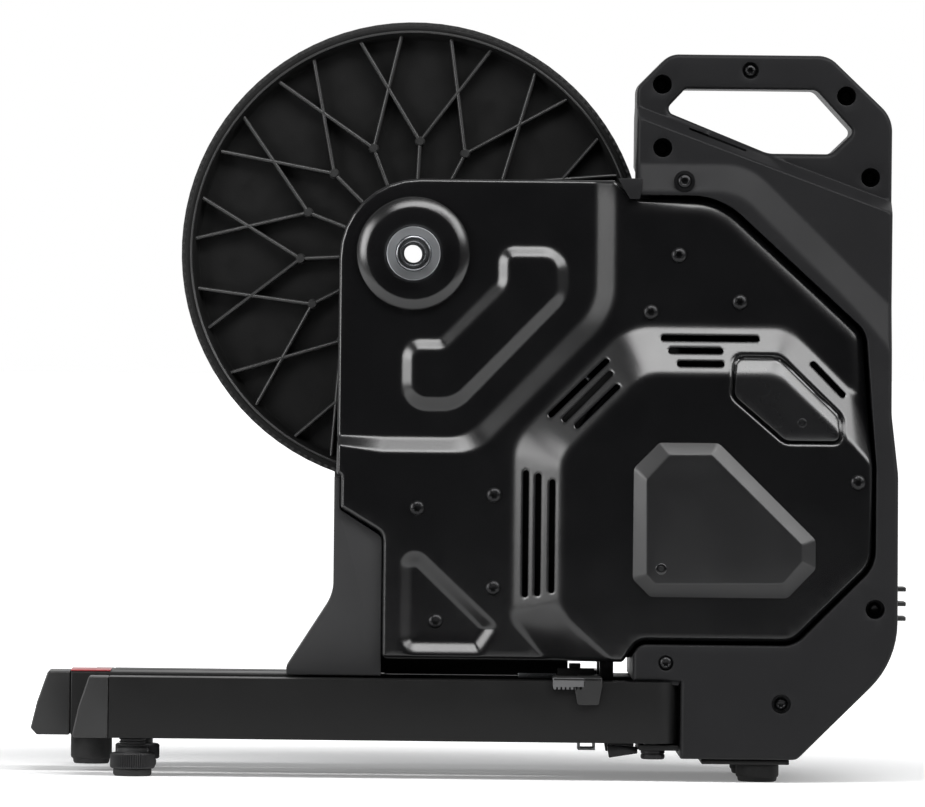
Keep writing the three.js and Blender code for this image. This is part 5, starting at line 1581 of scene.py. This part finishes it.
@dataclass
class AxleGroup:
    """The wheel axle's visible pieces: bulged ring, washer and dropout caps."""

    boss_profile: Sequence[Pair] = (
        (10.3, -45.3), (37.0, -45.3), (37.0, -52.6), (36.6, -53.4), (36.0, -54.0), (33.4, -55.6),
        (30.8, -56.9), (29.8, -57.25), (28.4, -57.4), (24.0, -57.4), (18.6, -57.3), (18.2, -57.0),
        (10.3, -57.0),
    )
    washer_profile: Sequence[Pair] = (
        (11.6, -57.3), (17.1, -57.3), (17.5, -57.7), (17.5, -59.2), (17.1, -59.6), (12.0, -59.6),
        (11.6, -59.2),
    )
    nose_profile: Sequence[Pair] = (
        (6.1, -45.3), (7.6, -45.3), (7.6, -57.3), (11.4, -57.3), (11.4, -69.9), (11.1, -70.6), (10.5, -70.9),
        (10.0, -70.9), (9.8, -70.2), (9.3, -70.2), (9.1, -71.0), (8.2, -71.0), (7.9, -70.2), (7.3, -70.0),
        (7.0, -70.6), (6.6, -70.6), (6.1, -69.6),
    )
    right_profile: Sequence[Pair] = (
        (6.1, 55.8), (7.6, 55.8), (7.6, 67.8), (11.4, 67.8), (11.4, 70.2), (11.0, 70.8), (10.4, 71.0),
        (9.2, 71.0), (8.9, 70.6), (7.4, 70.6), (7.1, 71.0), (6.5, 71.0), (6.1, 70.6),
    )

    def build(self) -> None:
        """Makes and dresses the pieces on the axle."""
        plan = [
            ("axle_dish", self.boss_profile, 96, ENAMEL, "gloss_black_paint", ["axle_boss"], 60),
            ("dropout_washer", self.washer_profile, 72, ALUMINIUM, "aluminium", ["left_end_cap"], 38),
            ("left_dropout_nose", self.nose_profile, 72, STEEL, "aluminium", [], 38),
            ("right_dropout_nose", self.right_profile, 72, ALUMINIUM, "aluminium", ["right_end_cap"], 38),
        ]
        for name, profile, steps, finish, slot, nodes, angle in plan:
            dress(turned(name, profile, AXLE, "Y", steps), finish, "stand", nodes, angle)


@dataclass
class DrivePulley:
    """The big ribbed pulley and its belt."""

    radius: float = 149.55
    rim: float = 7.0
    near: float = 3.0
    far: float = 23.0
    web_near: float = 14.0
    web_far: float = 17.0
    hub: float = 26.0
    bore: float = 15.3
    hub_near: float = 0.5
    hub_far: float = 26.0
    nodes: int = 15
    node_radius: float = 74.0
    node_turn: float = 2.9
    fork: float = 17.4
    rib: float = 2.8
    rib_near: float = 6.0
    rib_crest: float = 0.74
    steps: int = 150

    def wheel(self) -> Piece:
        """The rim, web and hub.

        Returns:
            The wheel.
        """
        inner = self.radius - self.rim
        profile = [
            (self.bore, self.hub_near), (self.hub - 0.8, self.hub_near), (self.hub, self.hub_near + 0.8),
            (self.hub + 0.6, self.web_near - 2),
            (self.hub + 2.6, self.web_near), (inner - 2.4, self.web_near), (inner - 0.4, self.web_near - 2),
            (inner + 0.3, self.near + 3.4), (inner + 2.8, self.near + 0.4), (inner + 3.4, self.near),
            (self.radius - 0.8, self.near), (self.radius, self.near + 0.6), (self.radius, self.far - 0.9),
            (self.radius - 1.6, self.far), (inner + 0.9, self.far), (inner, self.far - 1.0),
            (inner - 0.4, self.web_far + 2), (inner - 2.4, self.web_far), (self.hub + 2.6, self.web_far),
            (self.hub, self.web_far + 2), (self.hub, self.hub_far - 0.8), (self.hub - 0.8, self.hub_far),
            (self.bore, self.hub_far),
        ]
        return turned("pulley_wheel", profile, AXLE, "Y", self.steps)

    def rib_between(self, name: str, start: Points, end: Points) -> Piece:
        """One rib of the web, its crest rounded.

        Args:
            name: its name.
            start, end: its ends from the axle's middle, in x and z.

        Returns:
            The rib.
        """
        run = float(np.linalg.norm(end - start))
        height, half = AXLE_SPOT[1], self.rib / 2
        piece = block(name, (0, self.rib_near, height - half), (run, self.web_near + 1.5, height + half))
        for vertex in piece.data.vertices:
            if vertex.co.y / MM < self.rib_near + 1:
                vertex.co.z = AXLE.z + (vertex.co.z - AXLE.z) * self.rib_crest
        bevel(piece, lambda a, b: max(a.y, b.y) < self.rib_near + 0.1 and abs(a.x - b.x) > 1, 0.95, 3)
        angle = math.atan2(end[1] - start[1], end[0] - start[0])
        turn = Matrix.Rotation(-angle, 4, "Y")
        piece.data.transform(Matrix.Translation(-AXLE))
        foot = AXLE + Vector((start[0], 0, start[1])) * MM
        piece.data.transform(Matrix.Translation(foot) @ turn)
        return piece

    def spider(self) -> list[Piece]:
        """One node with its root rib and its two forks, then its copies round the hub.

        Returns:
            The copies.
        """
        spot = circle(0, 0, self.node_radius, 1)[0]
        ends = [circle(0, 0, self.radius - self.rim + 0.4, 1, turn)[0] for turn in (self.fork, -self.fork)]
        root = circle(0, 0, self.hub - 1, 1)[0]
        ribs = [self.rib_between("rib", spot, end) for end in ends] + [self.rib_between("rib", root, spot)]
        near, far = self.rib_near - 0.5, self.web_near + 1
        profile = [(0, far), (3.5, far), (3.0, near + 0.8), (2.3, near), (0, near)]
        knob = turned("node", profile, AXLE + Vector((spot[0], 0, spot[1])) * MM, "Y", 20)
        pattern = united("spider_0", [*ribs, knob])
        about = Matrix.Translation(AXLE)
        copies = []
        for index in range(self.nodes):
            angle = math.radians(90 - self.node_turn + 360 * index / self.nodes)
            turn = about @ Matrix.Rotation(-angle, 4, "Y") @ about.inverted()
            copies.append(copied(pattern, f"spider_{index + 1}", turn=turn))
        bpy.data.objects.remove(pattern)
        return copies

    def build(self) -> None:
        """Makes and dresses the pulley and the belt."""
        dress(self.wheel(), CASTING, "pulley", ["drive_pulley"])
        # The ribs and a thin ring at the rim's inner edge take the lighter casting colour: a painted highlight
        inner, near = self.radius - self.rim + 2.4, self.near
        line = [
            (inner, near + 1.6), (inner + 0.2, near - 0.5), (inner + 0.9, near - 0.9),
            (inner + 1.5, near - 0.5), (inner + 1.7, near + 0.1), (inner + 1.2, near + 1.6),
        ]
        ring = turned("rim_line", line, AXLE, "Y", self.steps)
        dress(united("pulley_ribs", [*self.spider(), ring]), CASTING_HIGHLIGHT, "pulley")
        dress(refined("drive_belt", "ribbed_belt", 0.3, 1), BELT, "stand", ["drive_belt"])


def ring_plate(name: str, outer: Points, inner: Points, near: float, far: float) -> Piece:
    """A flat ring: two outlines of as many points, bridged and then extruded.

    Args:
        name: the piece's name.
        outer, inner: the outlines in x and z.
        near, far: y of its two faces.

    Returns:
        The closed piece.
    """
    loops = [loop_through("ring", [place(x, near, z) for x, z in outline]) for outline in (outer, inner)]
    piece = united(name, loops)
    with editing(piece):
        bpy.ops.mesh.bridge_edge_loops()
    return drawn_out(piece, far - near)


@dataclass
class Cassette:
    """The sprockets on the freehub."""

    near: float = 28.5
    pitch: float = 3.74
    plate: float = 1.9
    chain: float = 12.7
    bore: float = 17.5
    carrier: float = 23.0
    teeth: Sequence[int] = (28, 25, 23, 21, 19, 17, 15, 14, 13, 12, 11)
    groups: Sequence[tuple[str, int, int]] = (
        ("cassette_large_cluster", 0, 4), ("cassette_middle_cluster", 5, 7), ("sprocket_13t", 8, 8),
        ("sprocket_12t", 9, 9), ("sprocket_11t", 10, 10),
    )
    tooth: Sequence[Pair] = (
        (0.0, -3.9), (0.17, -3.9), (0.3, -1.8), (0.41, 1.1), (0.5, 1.5), (0.59, 1.1), (0.7, -1.8),
        (0.83, -3.9),
    )

    def sprocket(self, index: int) -> Piece:
        """One toothed plate; its pitch radius follows from the chain's pitch.

        Args:
            index: its place in the row, from the largest.

        Returns:
            The plate.
        """
        count = self.teeth[index]
        pitch_radius = self.chain / (2 * math.sin(math.pi / count))
        shares = [(tooth + share) / count for tooth in range(count) for share, _ in self.tooth]
        turns = np.array(shares) * 2 * np.pi
        radii = np.tile([pitch_radius + rise for _, rise in self.tooth], count)
        around = np.column_stack([np.cos(turns), np.sin(turns)])
        outer, inner = AXLE_SPOT + around * radii[:, None], AXLE_SPOT + around * self.bore
        near = self.near + index * self.pitch
        return ring_plate(f"sprocket_{count}", outer, inner, near, near + self.plate)

    def build(self) -> None:
        """Makes and dresses the sprockets in their groups."""
        for node, first, last in self.groups:
            pieces = [self.sprocket(index) for index in range(first, last + 1)]
            for index in range(first, last):
                near = self.near + index * self.pitch + self.plate
                far = near + self.pitch - self.plate
                profile = [(self.bore, near), (self.carrier, near), (self.carrier, far), (self.bore, far)]
                pieces.append(turned("spacer", profile, AXLE, "Y", 48))
            piece = united(node + "_plates", pieces)
            dress(piece, NICKEL, "cassette", [node], 30)
        lock = refined("cassette_lockring", "notched_lockring", 0.25, 1)
        dress(lock, OXIDE, "cassette", ["cassette_lockring"])


@dataclass
class Base:
    """The beam, what it carries and the rear feet."""

    half: float = 25.0
    nose_box: Box = (-246.98, 24.0, 25.58, 41.5)
    nose_shares: Sequence[Corner] = (
        (1, 1, 0.039), (0.43, 1, 0.078), (0.156, 0.511, 0.6), (0, 0.105, 0.078), (0.156, 0, 0.078),
        (1, 0, 0.039),
    )
    gusset_size: Pair = (61.6, 129.0)
    gusset_shares: Sequence[Corner] = (
        (0.487, 1, 0.01), (0.487, 0.404, 0.48), (0, 0.04, 0.05), (0, 0, 0.016),
        (1, 0, 0.016), (1, 0.702, 0.1), (0.55, 0.838, 0.016), (0.55, 1, 0.01),
    )
    rod: tuple[Corner, Corner] = ((71.0, -47.0, 65.4), (96.0, -43.0, 68.4))
    stops: Sequence[tuple[str, Corner, Corner]] = (
        ("lever_stop_low", (97.0, -34.0, 66.2), (121.0, -28.0, 71.4)),
        ("lever_stop_high", (104.5, -34.0, 71.4), (112.0, -28.0, 74.6)),
    )
    web: Sequence[Pair] = (
        (-46.5, 66), (-14.6, 66), (-14.6, 166), (-30, 180), (-43, 199), (-50, 199), (-50, 192),
    )
    foot_profile: Sequence[Pair] = (
        (0, 23.7), (13.5, 23.7), (13.5, 9.6), (13.2, 8.6), (12.2, 8.0), (12.0, 7.4), (11.8, 5.8), (11.0, 4.7),
        (0, 4.6),
    )
    rear_foot_profile: Sequence[Pair] = (
        (0, 11.4), (13.4, 11.4), (13.8, 10.8), (14.0, 9.8), (14.0, 4.4), (13.6, 3.4), (12.9, 2.9),
        (12.6, 1.2), (12.0, 0.3), (11.0, 0.0), (0, 0.0),
    )

    def nose(self) -> Piece:
        """The slanted end cap of the beam."""
        profile = rounded(in_box(self.nose_shares, self.nose_box), 7)
        return softened(prism("beam_nose", profile, -self.half, self.half), *CAP_ROUNDING)

    def strip(self) -> Piece:
        """The red strip on the beam's top."""
        return softened(block("red_strip", *span("beam_accent_strip")), 0.3)

    def storage_foot(self) -> Piece:
        """The rubber foot under the beam's front."""
        return turned("storage_foot", self.foot_profile, middle_of("beam_front_foot"), "Z", 56)

    def gusset(self) -> Piece:
        """The bracket between the frame and the beam, open behind.

        Returns:
            The bracket.
        """
        low, high = span("front_gusset")
        outline = in_box(self.gusset_shares, (low.x, low.z, *self.gusset_size))
        piece = prism("frame_gusset", rounded(outline, 7), low.y, high.y)
        bevel(piece, lambda a, b: max(a.y, b.y) < low.y + 0.1 or min(a.y, b.y) > high.y - 0.1, 1.6, 3)
        web = prism("web", np.array(self.web), high.y + FIT, high.y + 1.6)
        return united("frame_gusset", [piece, web])

    def build(self) -> None:
        """Makes and dresses the base."""
        satin = "satin_black_paint"
        plan = [
            (refined("base_beam", "beam_tube", 2.0, 3), POWDER, satin, "base_beam"),
            (self.nose(), NYLON, "dark_plastic", "beam_front_cap"),
            (self.strip(), RED, "red_accent", "beam_accent_strip"),
            (self.storage_foot(), RUBBER, "rubber", "beam_front_foot"),
            (refined("beam_clip", "pale_bracket", 0.4), ACETAL, "grey_plastic", "beam_clip"),
            (refined("leg_crossmember", "welded_crossmember", 0.8), POWDER, satin, "leg_crossmember"),
            (refined("rear_foot_plate", "folded_foot_plate", 0.8), POWDER, satin, "rear_foot_plate"),
            (self.gusset(), BRACKET_NYLON, "moulded_plastic", "front_gusset"),
            (refined("cable_guide", "finned_guide", 0.5), NYLON, "dark_plastic", "cable_guide"),
            (refined("power_socket", "socket_barrel", 0.3), OXIDE, "black_steel", "power_socket"),
            (softened(block("spring_rod", *self.rod), 0.5), STEEL, "bright_steel", ""),
        ]
        plan += [(softened(block(*stop), 0.5), NYLON, "dark_plastic", "") for stop in self.stops]
        for piece, finish, slot, node in plan:
            dress(piece, finish, "stand", [node] if node else [])
        pattern = turned("left_rear_pad", self.rear_foot_profile, middle_of("left_rear_foot"), "Z", 56)
        dress(pattern, RUBBER, "stand", ["left_rear_foot"])
        dress(mirrored(pattern, "right_rear_pad"), RUBBER, "stand", ["right_rear_foot"])


@dataclass
class Leg:
    """A folding leg with its foot, pivot, lock lever, catch post and latch, drawn on the left side."""

    near: float = -92.0
    far: float = -60.0
    top: float = 64.5
    bottom: float = 25.0
    cap_front: float = -218.0
    cap_length: float = 23.3
    cap_shares: Sequence[Corner] = (
        (1, 1, 0.042), (0.445, 1, 0.085), (0.169, 0.506, 0.6), (0, 0.051, 0.085), (0.042, 0, 0.042),
        (1, 0, 0.042),
    )
    foot_x: float = -179.0
    middle: float = -76.0
    knob_low: float = 4.9
    knob_top: float = 15.2
    knob_radius: float = 14.6
    ridges: int = 60
    ridge_crest: float = 1.014
    ridge_root: float = 0.945
    stud: float = 8.8
    stud_top: float = 39.9
    pitch: float = 1.75
    pad_profile: Sequence[Pair] = (
        (0, 4.6), (12.2, 4.6), (12.5, 4.2), (12.5, 1.6), (12.0, 0.5), (11.2, 0.0), (0, 0.0),
    )
    bolt_foot: Sequence[Pair] = (
        (0, 0.0), (6.6, 0.0), (7.4, 0.4), (7.8, 1.2), (7.8, 3.0), (7.3, 3.3), (7.3, 3.8), (7.8, 4.1),
        (7.8, 5.6), (6.0, 5.6),
    )
    bolt_head: float = 4.0
    lever_teeth: int = 7
    lever_skirt: float = 60.7
    grip_length: float = 20.0
    arm: tuple[Pair, float] = ((110.0, 122.8), -61.5)
    tab_length: float = 18.0
    tab_drop: float = 11.0

    def tube(self) -> Piece:
        """The square tube, round at its pivot."""
        return refined("left_leg_tube", "left_square_leg", 2.0, 3, 50)

    def cap(self) -> Piece:
        """The slanted end cap.

        Returns:
            The cap.
        """
        box = (self.cap_front, self.bottom, self.cap_length, self.top - self.bottom)
        piece = prism("left_leg_nose", rounded(in_box(self.cap_shares, box), 7), self.near, self.far)
        return softened(piece, *CAP_ROUNDING)

    def knob(self) -> Piece:
        """The ridged wheel and its threaded stud.

        Returns:
            The wheel with its stud.
        """
        centre = place(self.foot_x, self.middle, 0)
        low, top, radius = self.knob_low, self.knob_top, self.knob_radius
        profile = [
            (0, low), (radius - 1.2, low), (radius - 0.2, low + 0.9), (radius - 0.2, top - 1.2),
            (radius - 1.0, top - 0.2), (radius - 2.0, top), (10.4, top), (10.2, top + 0.4), (10.2, top + 2.9),
            (9.8, top + 3.3), (self.stud, top + 3.3),
        ]
        root, height = self.stud - 0.9, top + 3.6
        while height + self.pitch < self.stud_top - 1:
            profile += [(self.stud, height), (root, height + self.pitch * 0.35)]
            profile += [(root, height + self.pitch * 0.55), (self.stud, height + self.pitch * 0.9)]
            height += self.pitch
        profile += [(self.stud - 0.8, self.stud_top), (0, self.stud_top)]
        piece = turned("left_ridged_knob", profile, centre, "Z", self.ridges * 2)
        for vertex in piece.data.vertices:
            out = Vector((vertex.co.x - centre.x, vertex.co.y - centre.y))
            height = vertex.co.z / MM
            if out.length > (radius - 0.6) * MM and low + 0.5 < height < top - 0.9:
                turn = round(math.degrees(math.atan2(out.y, out.x)) * self.ridges / 180)
                out *= self.ridge_crest if turn % 2 else self.ridge_root
                vertex.co.x, vertex.co.y = centre.x + out.x, centre.y + out.y
        return piece

    def pad(self) -> Piece:
        """The rubber pad under the knob."""
        return turned("left_rubber_pad", self.pad_profile, place(self.foot_x, self.middle, 0), "Z", 56)

    def pivot_bolt(self) -> Piece:
        """The pivot: hexagon head above, grooved cap below.

        Returns:
            The pivot.
        """
        low, high = span("left_pivot_bolt")
        centre = middle_of("left_pivot_bolt")
        neck = high.z - self.bolt_head - 0.3
        profile = [(radius, low.z + rise) for radius, rise in self.bolt_foot] + [(6.0, neck), (0, neck)]
        shank = turned("shank", profile, centre, "Z", 48)
        select_only(None)
        depth = self.bolt_head * MM
        bpy.ops.mesh.primitive_cylinder_add(vertices=6, radius=10 * MM, depth=depth, location=centre)
        head = bpy.context.object
        head.location.z = high.z * MM - depth / 2
        bpy.ops.object.transform_apply(location=True, rotation=True, scale=True)
        softened(head, 0.6)
        return united("left_pivot_pin", [shank, head])

    def grip(self) -> Piece:
        """The toothed grip on the lever's outside.

        Returns:
            The grip.
        """
        low, high = span("left_lock_lever")
        left, top, skirt = low.x, high.z - 0.2, self.lever_skirt
        split = left + self.grip_length
        step = (self.grip_length - 0.6) / self.lever_teeth
        teeth = [(split, skirt - 0.2), (split, top), (left, top), (left, skirt + 1.2)]
        for tooth in range(self.lever_teeth):
            start = left + 0.6 + tooth * step
            teeth += [(start, skirt - 1.1), (start + step * 0.55, skirt - 1.1)]
            teeth += [(start + step * 0.62, skirt + 0.5), (start + step * 0.95, skirt + 0.5)]
        piece = prism("left_lever_grip", np.array(teeth), low.y, self.near - FIT)
        return bevel(piece, lambda a, b: max(a.y, b.y) < low.y + 0.01, 0.25, 1)

    def lever(self) -> Piece:
        """The lifting lever: a pad over the leg, a finger tab outside it and an arm towards the post.

        Returns:
            The lever.
        """
        low, high = span("left_lock_lever")
        outside, edge, top, right = self.near - FIT, low.y, high.z, high.x
        skirt, foot = self.lever_skirt, self.top + FIT
        (arm_left, arm_right), arm_near = self.arm
        pad = softened(block("pad", (low.x, edge, foot), (right, -59.0, top)), 0.7)
        arm = softened(block("arm", (arm_left, arm_near, foot), (arm_right, high.y, top)), 0.6)
        wall = block("skirt", (low.x + self.grip_length + 0.3, edge, skirt), (right, outside, top))
        left, drop, root = right - self.tab_length, skirt - self.tab_drop, skirt + 1
        outline = [(left, root, 0.4), (left + 2.2, drop, 1.6), (right - 2.2, drop, 1.6), (right, root, 0.4)]
        tab = prism("tab", rounded(outline, 4), edge, outside)
        bevel(tab, lambda a, b: max(a.y, b.y) < edge + 0.01, 0.5, 2)
        return united("left_lift_lever", [pad, arm, softened(wall, 0.6), tab])

    def post(self) -> Piece:
        """The squared catch post."""
        low, high = span("left_catch_post")
        return softened(block("left_square_post", low, high), 0.8)

    def latch(self) -> Piece:
        """The tilted pawl with a pressed window."""
        return refined("left_detent_latch", "left_pawl", 0.5)

    def build(self) -> None:
        """Makes the left leg's pieces, turns them over for the right one and dresses both."""
        plan = [
            (self.tube(), POWDER, "leg", "satin_black_paint", "leg_tube", 45),
            (self.cap(), NYLON, "leg", "dark_plastic", "leg_cap", 45),
            # The knob takes the bracket's lighter nylon, a painted lightening against the shade near the floor
            (self.knob(), BRACKET_NYLON, "knob", "dark_plastic", "foot_knob", 25),
            (self.pad(), RUBBER, "pad", "rubber", "foot_pad", 38),
            (self.pivot_bolt(), OXIDE, "stand", "black_steel", "pivot_bolt", 38),
            (self.lever(), NYLON, "lever", "dark_plastic", "lock_lever", 20),
            (self.grip(), GREY_NYLON, "lever", "dark_plastic", "", 20),
            (self.post(), OXIDE, "stand", "black_steel", "catch_post", 38),
            (self.latch(), OXIDE, "latch", "black_steel", "detent_latch", 38),
        ]
        for piece, finish, body, slot, node, angle in plan:
            for side in Side:
                shown = piece if side is Side.LEFT else mirrored(piece, piece.name.replace("left", "right"))
                carrier = body if body == "stand" else f"{side.value}_{body}"
                nodes = [f"{side.value}_{node}"] if node else []
                dress(shown, finish, carrier, nodes, angle)


@dataclass
class Interior:
    """What lies inside: the CAD model's own shapes, each in its slot's finish, the magnet carrier in black
    powder coat as painted shade behind the panel's slots.
    """

    # The magnet carrier is painted black so that the slots in front of it read as shade
    shade_darkened: dict[str, Finish] = field(default_factory=lambda: {"magnet_carrier": POWDER})

    def build(self) -> None:
        """Dresses every CAD node that is still shown."""
        slots = {row["node"]: row["material_slot"] for row in frame["record"]["subparts"]}
        for name, node in frame["nodes"].items():
            if node.hide_render:
                continue
            node.data.materials.clear()
            finish = self.shade_darkened.get(name, SLOT_FINISHES[slots[name]])
            node.data.materials.append(finish.material())
            log.info("%s: kept from the CAD model", name)


@dataclass
class Studio:
    """A pale floor, soft lamps, a white surround and the camera."""

    eye: Corner = (-28.0, -7065.0, 307.1)
    sensor: float = 36.0
    roll: float = 0.62
    field_mm: float = 601.25
    distance: float = 7000.0
    shift: Pair = (0.1, -0.1065)
    apron: float = 0.6
    sweep: float = 40.0
    paper: tuple[float, ...] = (0.86, 0.86, 0.86, 1.0)
    daylight: tuple[float, ...] = (0.95, 0.97, 1.0, 1.0)
    fill: float = 0.2
    target: Corner = (0.0, 0.0, 0.22)
    lamps: Sequence[tuple[str, Corner, Pair, float]] = (
        ("left_softbox", (-1.5, -1.0, 0.72), (0.6, 1.1), 23.0),
        ("right_softbox", (1.34, -0.91, 1.25), (0.65, 0.95), 17.0),
        ("top_softbox", (0.25, -1.05, 1.75), (1.8, 0.5), 32.0),
    )

    def camera(self) -> None:
        """The camera at the photograph's place, with its shift."""
        data = bpy.data.cameras.new("camera")
        data.sensor_width = self.sensor
        data.lens = self.sensor * self.distance / self.field_mm
        data.shift_x, data.shift_y = self.shift
        data.clip_start, data.clip_end = 0.1, 60.0
        eye = bpy.data.objects.new("camera", data)
        bpy.context.collection.objects.link(eye)
        turn = Matrix.Rotation(math.radians(-self.roll), 4, "Y") @ Matrix.Rotation(math.radians(90), 4, "X")
        eye.matrix_world = Matrix.Translation(place(*self.eye)) @ turn
        bpy.context.scene.camera = eye

    def light(self) -> None:
        """Soft lamps aimed at the middle of the object."""
        for name, spot, size, power in self.lamps:
            data = bpy.data.lights.new(name, "AREA")
            data.shape = "RECTANGLE"
            data.size, data.size_y = size
            data.energy = power
            lamp = bpy.data.objects.new(name, data)
            bpy.context.collection.objects.link(lamp)
            lamp.location = spot
            lamp.rotation_euler = (Vector(self.target) - Vector(spot)).to_track_quat("-Z", "Y").to_euler()

    def surround(self) -> None:
        """A world that is white to the eye, dark in front for reflections and even for diffuse light."""
        world = bpy.data.worlds.new("studio")
        world.use_nodes = True
        bpy.context.scene.world = world
        tree = world.node_tree
        output = tree.nodes["World Output"]
        even = tree.nodes["Background"]
        even.inputs["Color"].default_value = self.daylight
        even.inputs["Strength"].default_value = self.fill
        spot = add_node(tree, "ShaderNodeTexCoord").outputs["Generated"]
        apart = add_node(tree, "ShaderNodeSeparateXYZ", links={"Vector": spot})
        front = add_node(
            tree, "ShaderNodeMapRange", {"From Min": -0.95, "From Max": -0.4, "To Min": 0.01, "To Max": 0.2},
            {"Value": apart.outputs["Y"]},
        )
        behind = add_node(
            tree, "ShaderNodeMapRange", {"From Min": -0.05, "From Max": 0.35, "To Min": 0.0, "To Max": 0.8},
            {"Value": apart.outputs["Y"]},
        )
        total = add_node(
            tree, "ShaderNodeMath", {"operation": "ADD"},
            {0: front.outputs["Result"], 1: behind.outputs["Result"]},
        )
        rays = add_node(tree, "ShaderNodeLightPath").outputs
        reflected = add_node(tree, "ShaderNodeBackground", {"Color": WHITE}, {"Strength": total.outputs[0]})
        white = add_node(tree, "ShaderNodeBackground", {"Color": WHITE, "Strength": 1.0})
        seen = add_node(
            tree, "ShaderNodeMath", {"operation": "MAXIMUM"},
            {0: rays["Is Camera Ray"], 1: rays["Is Transmission Ray"]},
        )
        glossy = add_node(
            tree, "ShaderNodeMixShader",
            links={0: rays["Is Glossy Ray"], 1: even.outputs[0], 2: reflected.outputs[0]},
        )
        mixed = add_node(
            tree, "ShaderNodeMixShader", links={0: seen.outputs[0], 1: glossy.outputs[0], 2: white.outputs[0]}
        )
        tree.links.new(mixed.outputs[0], output.inputs["Surface"])

    def floor(self) -> None:
        """A wide pale floor that fades into the white surround and keeps the object's shadow."""
        select_only(None)
        bpy.ops.mesh.primitive_plane_add(size=self.sweep, location=(0, self.sweep / 2 - self.apron, 0))
        bpy.ops.object.transform_apply(location=True, rotation=True, scale=True)
        sheet = bpy.context.object
        sheet.name = "floor"
        made = bpy.data.materials.new("pale_paper_floor")
        made.use_nodes = True
        tree = made.node_tree
        shader = tree.nodes["Principled BSDF"]
        shader.inputs["Base Color"].default_value = self.paper
        shader.inputs["Roughness"].default_value = 0.75
        shader.inputs["Specular IOR Level"].default_value = 0.2
        rays = add_node(tree, "ShaderNodeLightPath").outputs
        seen = add_node(
            tree, "ShaderNodeMath", {"operation": "MAXIMUM"},
            {0: rays["Is Camera Ray"], 1: rays["Is Glossy Ray"]},
        )
        spot = add_node(tree, "ShaderNodeTexCoord").outputs["Object"]
        far = add_node(tree, "ShaderNodeVectorMath", {"operation": "LENGTH"}, {0: spot})
        fade = add_node(
            tree, "ShaderNodeMapRange", {"From Min": 0.32, "From Max": 0.85, "To Min": 0.2, "To Max": 1.0},
            {"Value": far.outputs["Value"]},
        )
        lift = add_node(
            tree, "ShaderNodeMath", {"operation": "MULTIPLY"}, {0: seen.outputs[0], 1: fade.outputs["Result"]}
        )
        glow = add_node(tree, "ShaderNodeEmission", {"Color": WHITE}, {"Strength": lift.outputs[0]})
        both = add_node(tree, "ShaderNodeAddShader", links={0: shader.outputs[0], 1: glow.outputs[0]})
        tree.links.new(both.outputs[0], tree.nodes["Material Output"].inputs["Surface"])
        sheet.data.materials.append(made)
        sheet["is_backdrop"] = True

    def build(self) -> None:
        """Sets the studio up."""
        self.camera()
        self.light()
        self.surround()
        self.floor()
        bpy.context.scene.view_settings.view_transform = "Standard"


def corners(box: tuple[Vector, Vector]) -> list[list[float]]:
    """A box as plain lists of numbers."""
    return [list(corner) for corner in box]


def main() -> None:
    """Builds the sub-assemblies in order."""
    assemblies = (
        FramePanel(), Shells(), AxleGroup(), DrivePulley(), Cassette(), Base(), Leg(), Interior(), Studio(),
    )
    for assembly in assemblies:
        log.info("building %s", type(assembly).__name__)
        assembly.build()
    {"cad": corners(CAD_BOX), "visual": corners(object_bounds())}


if __name__ == "__main__":
    main()
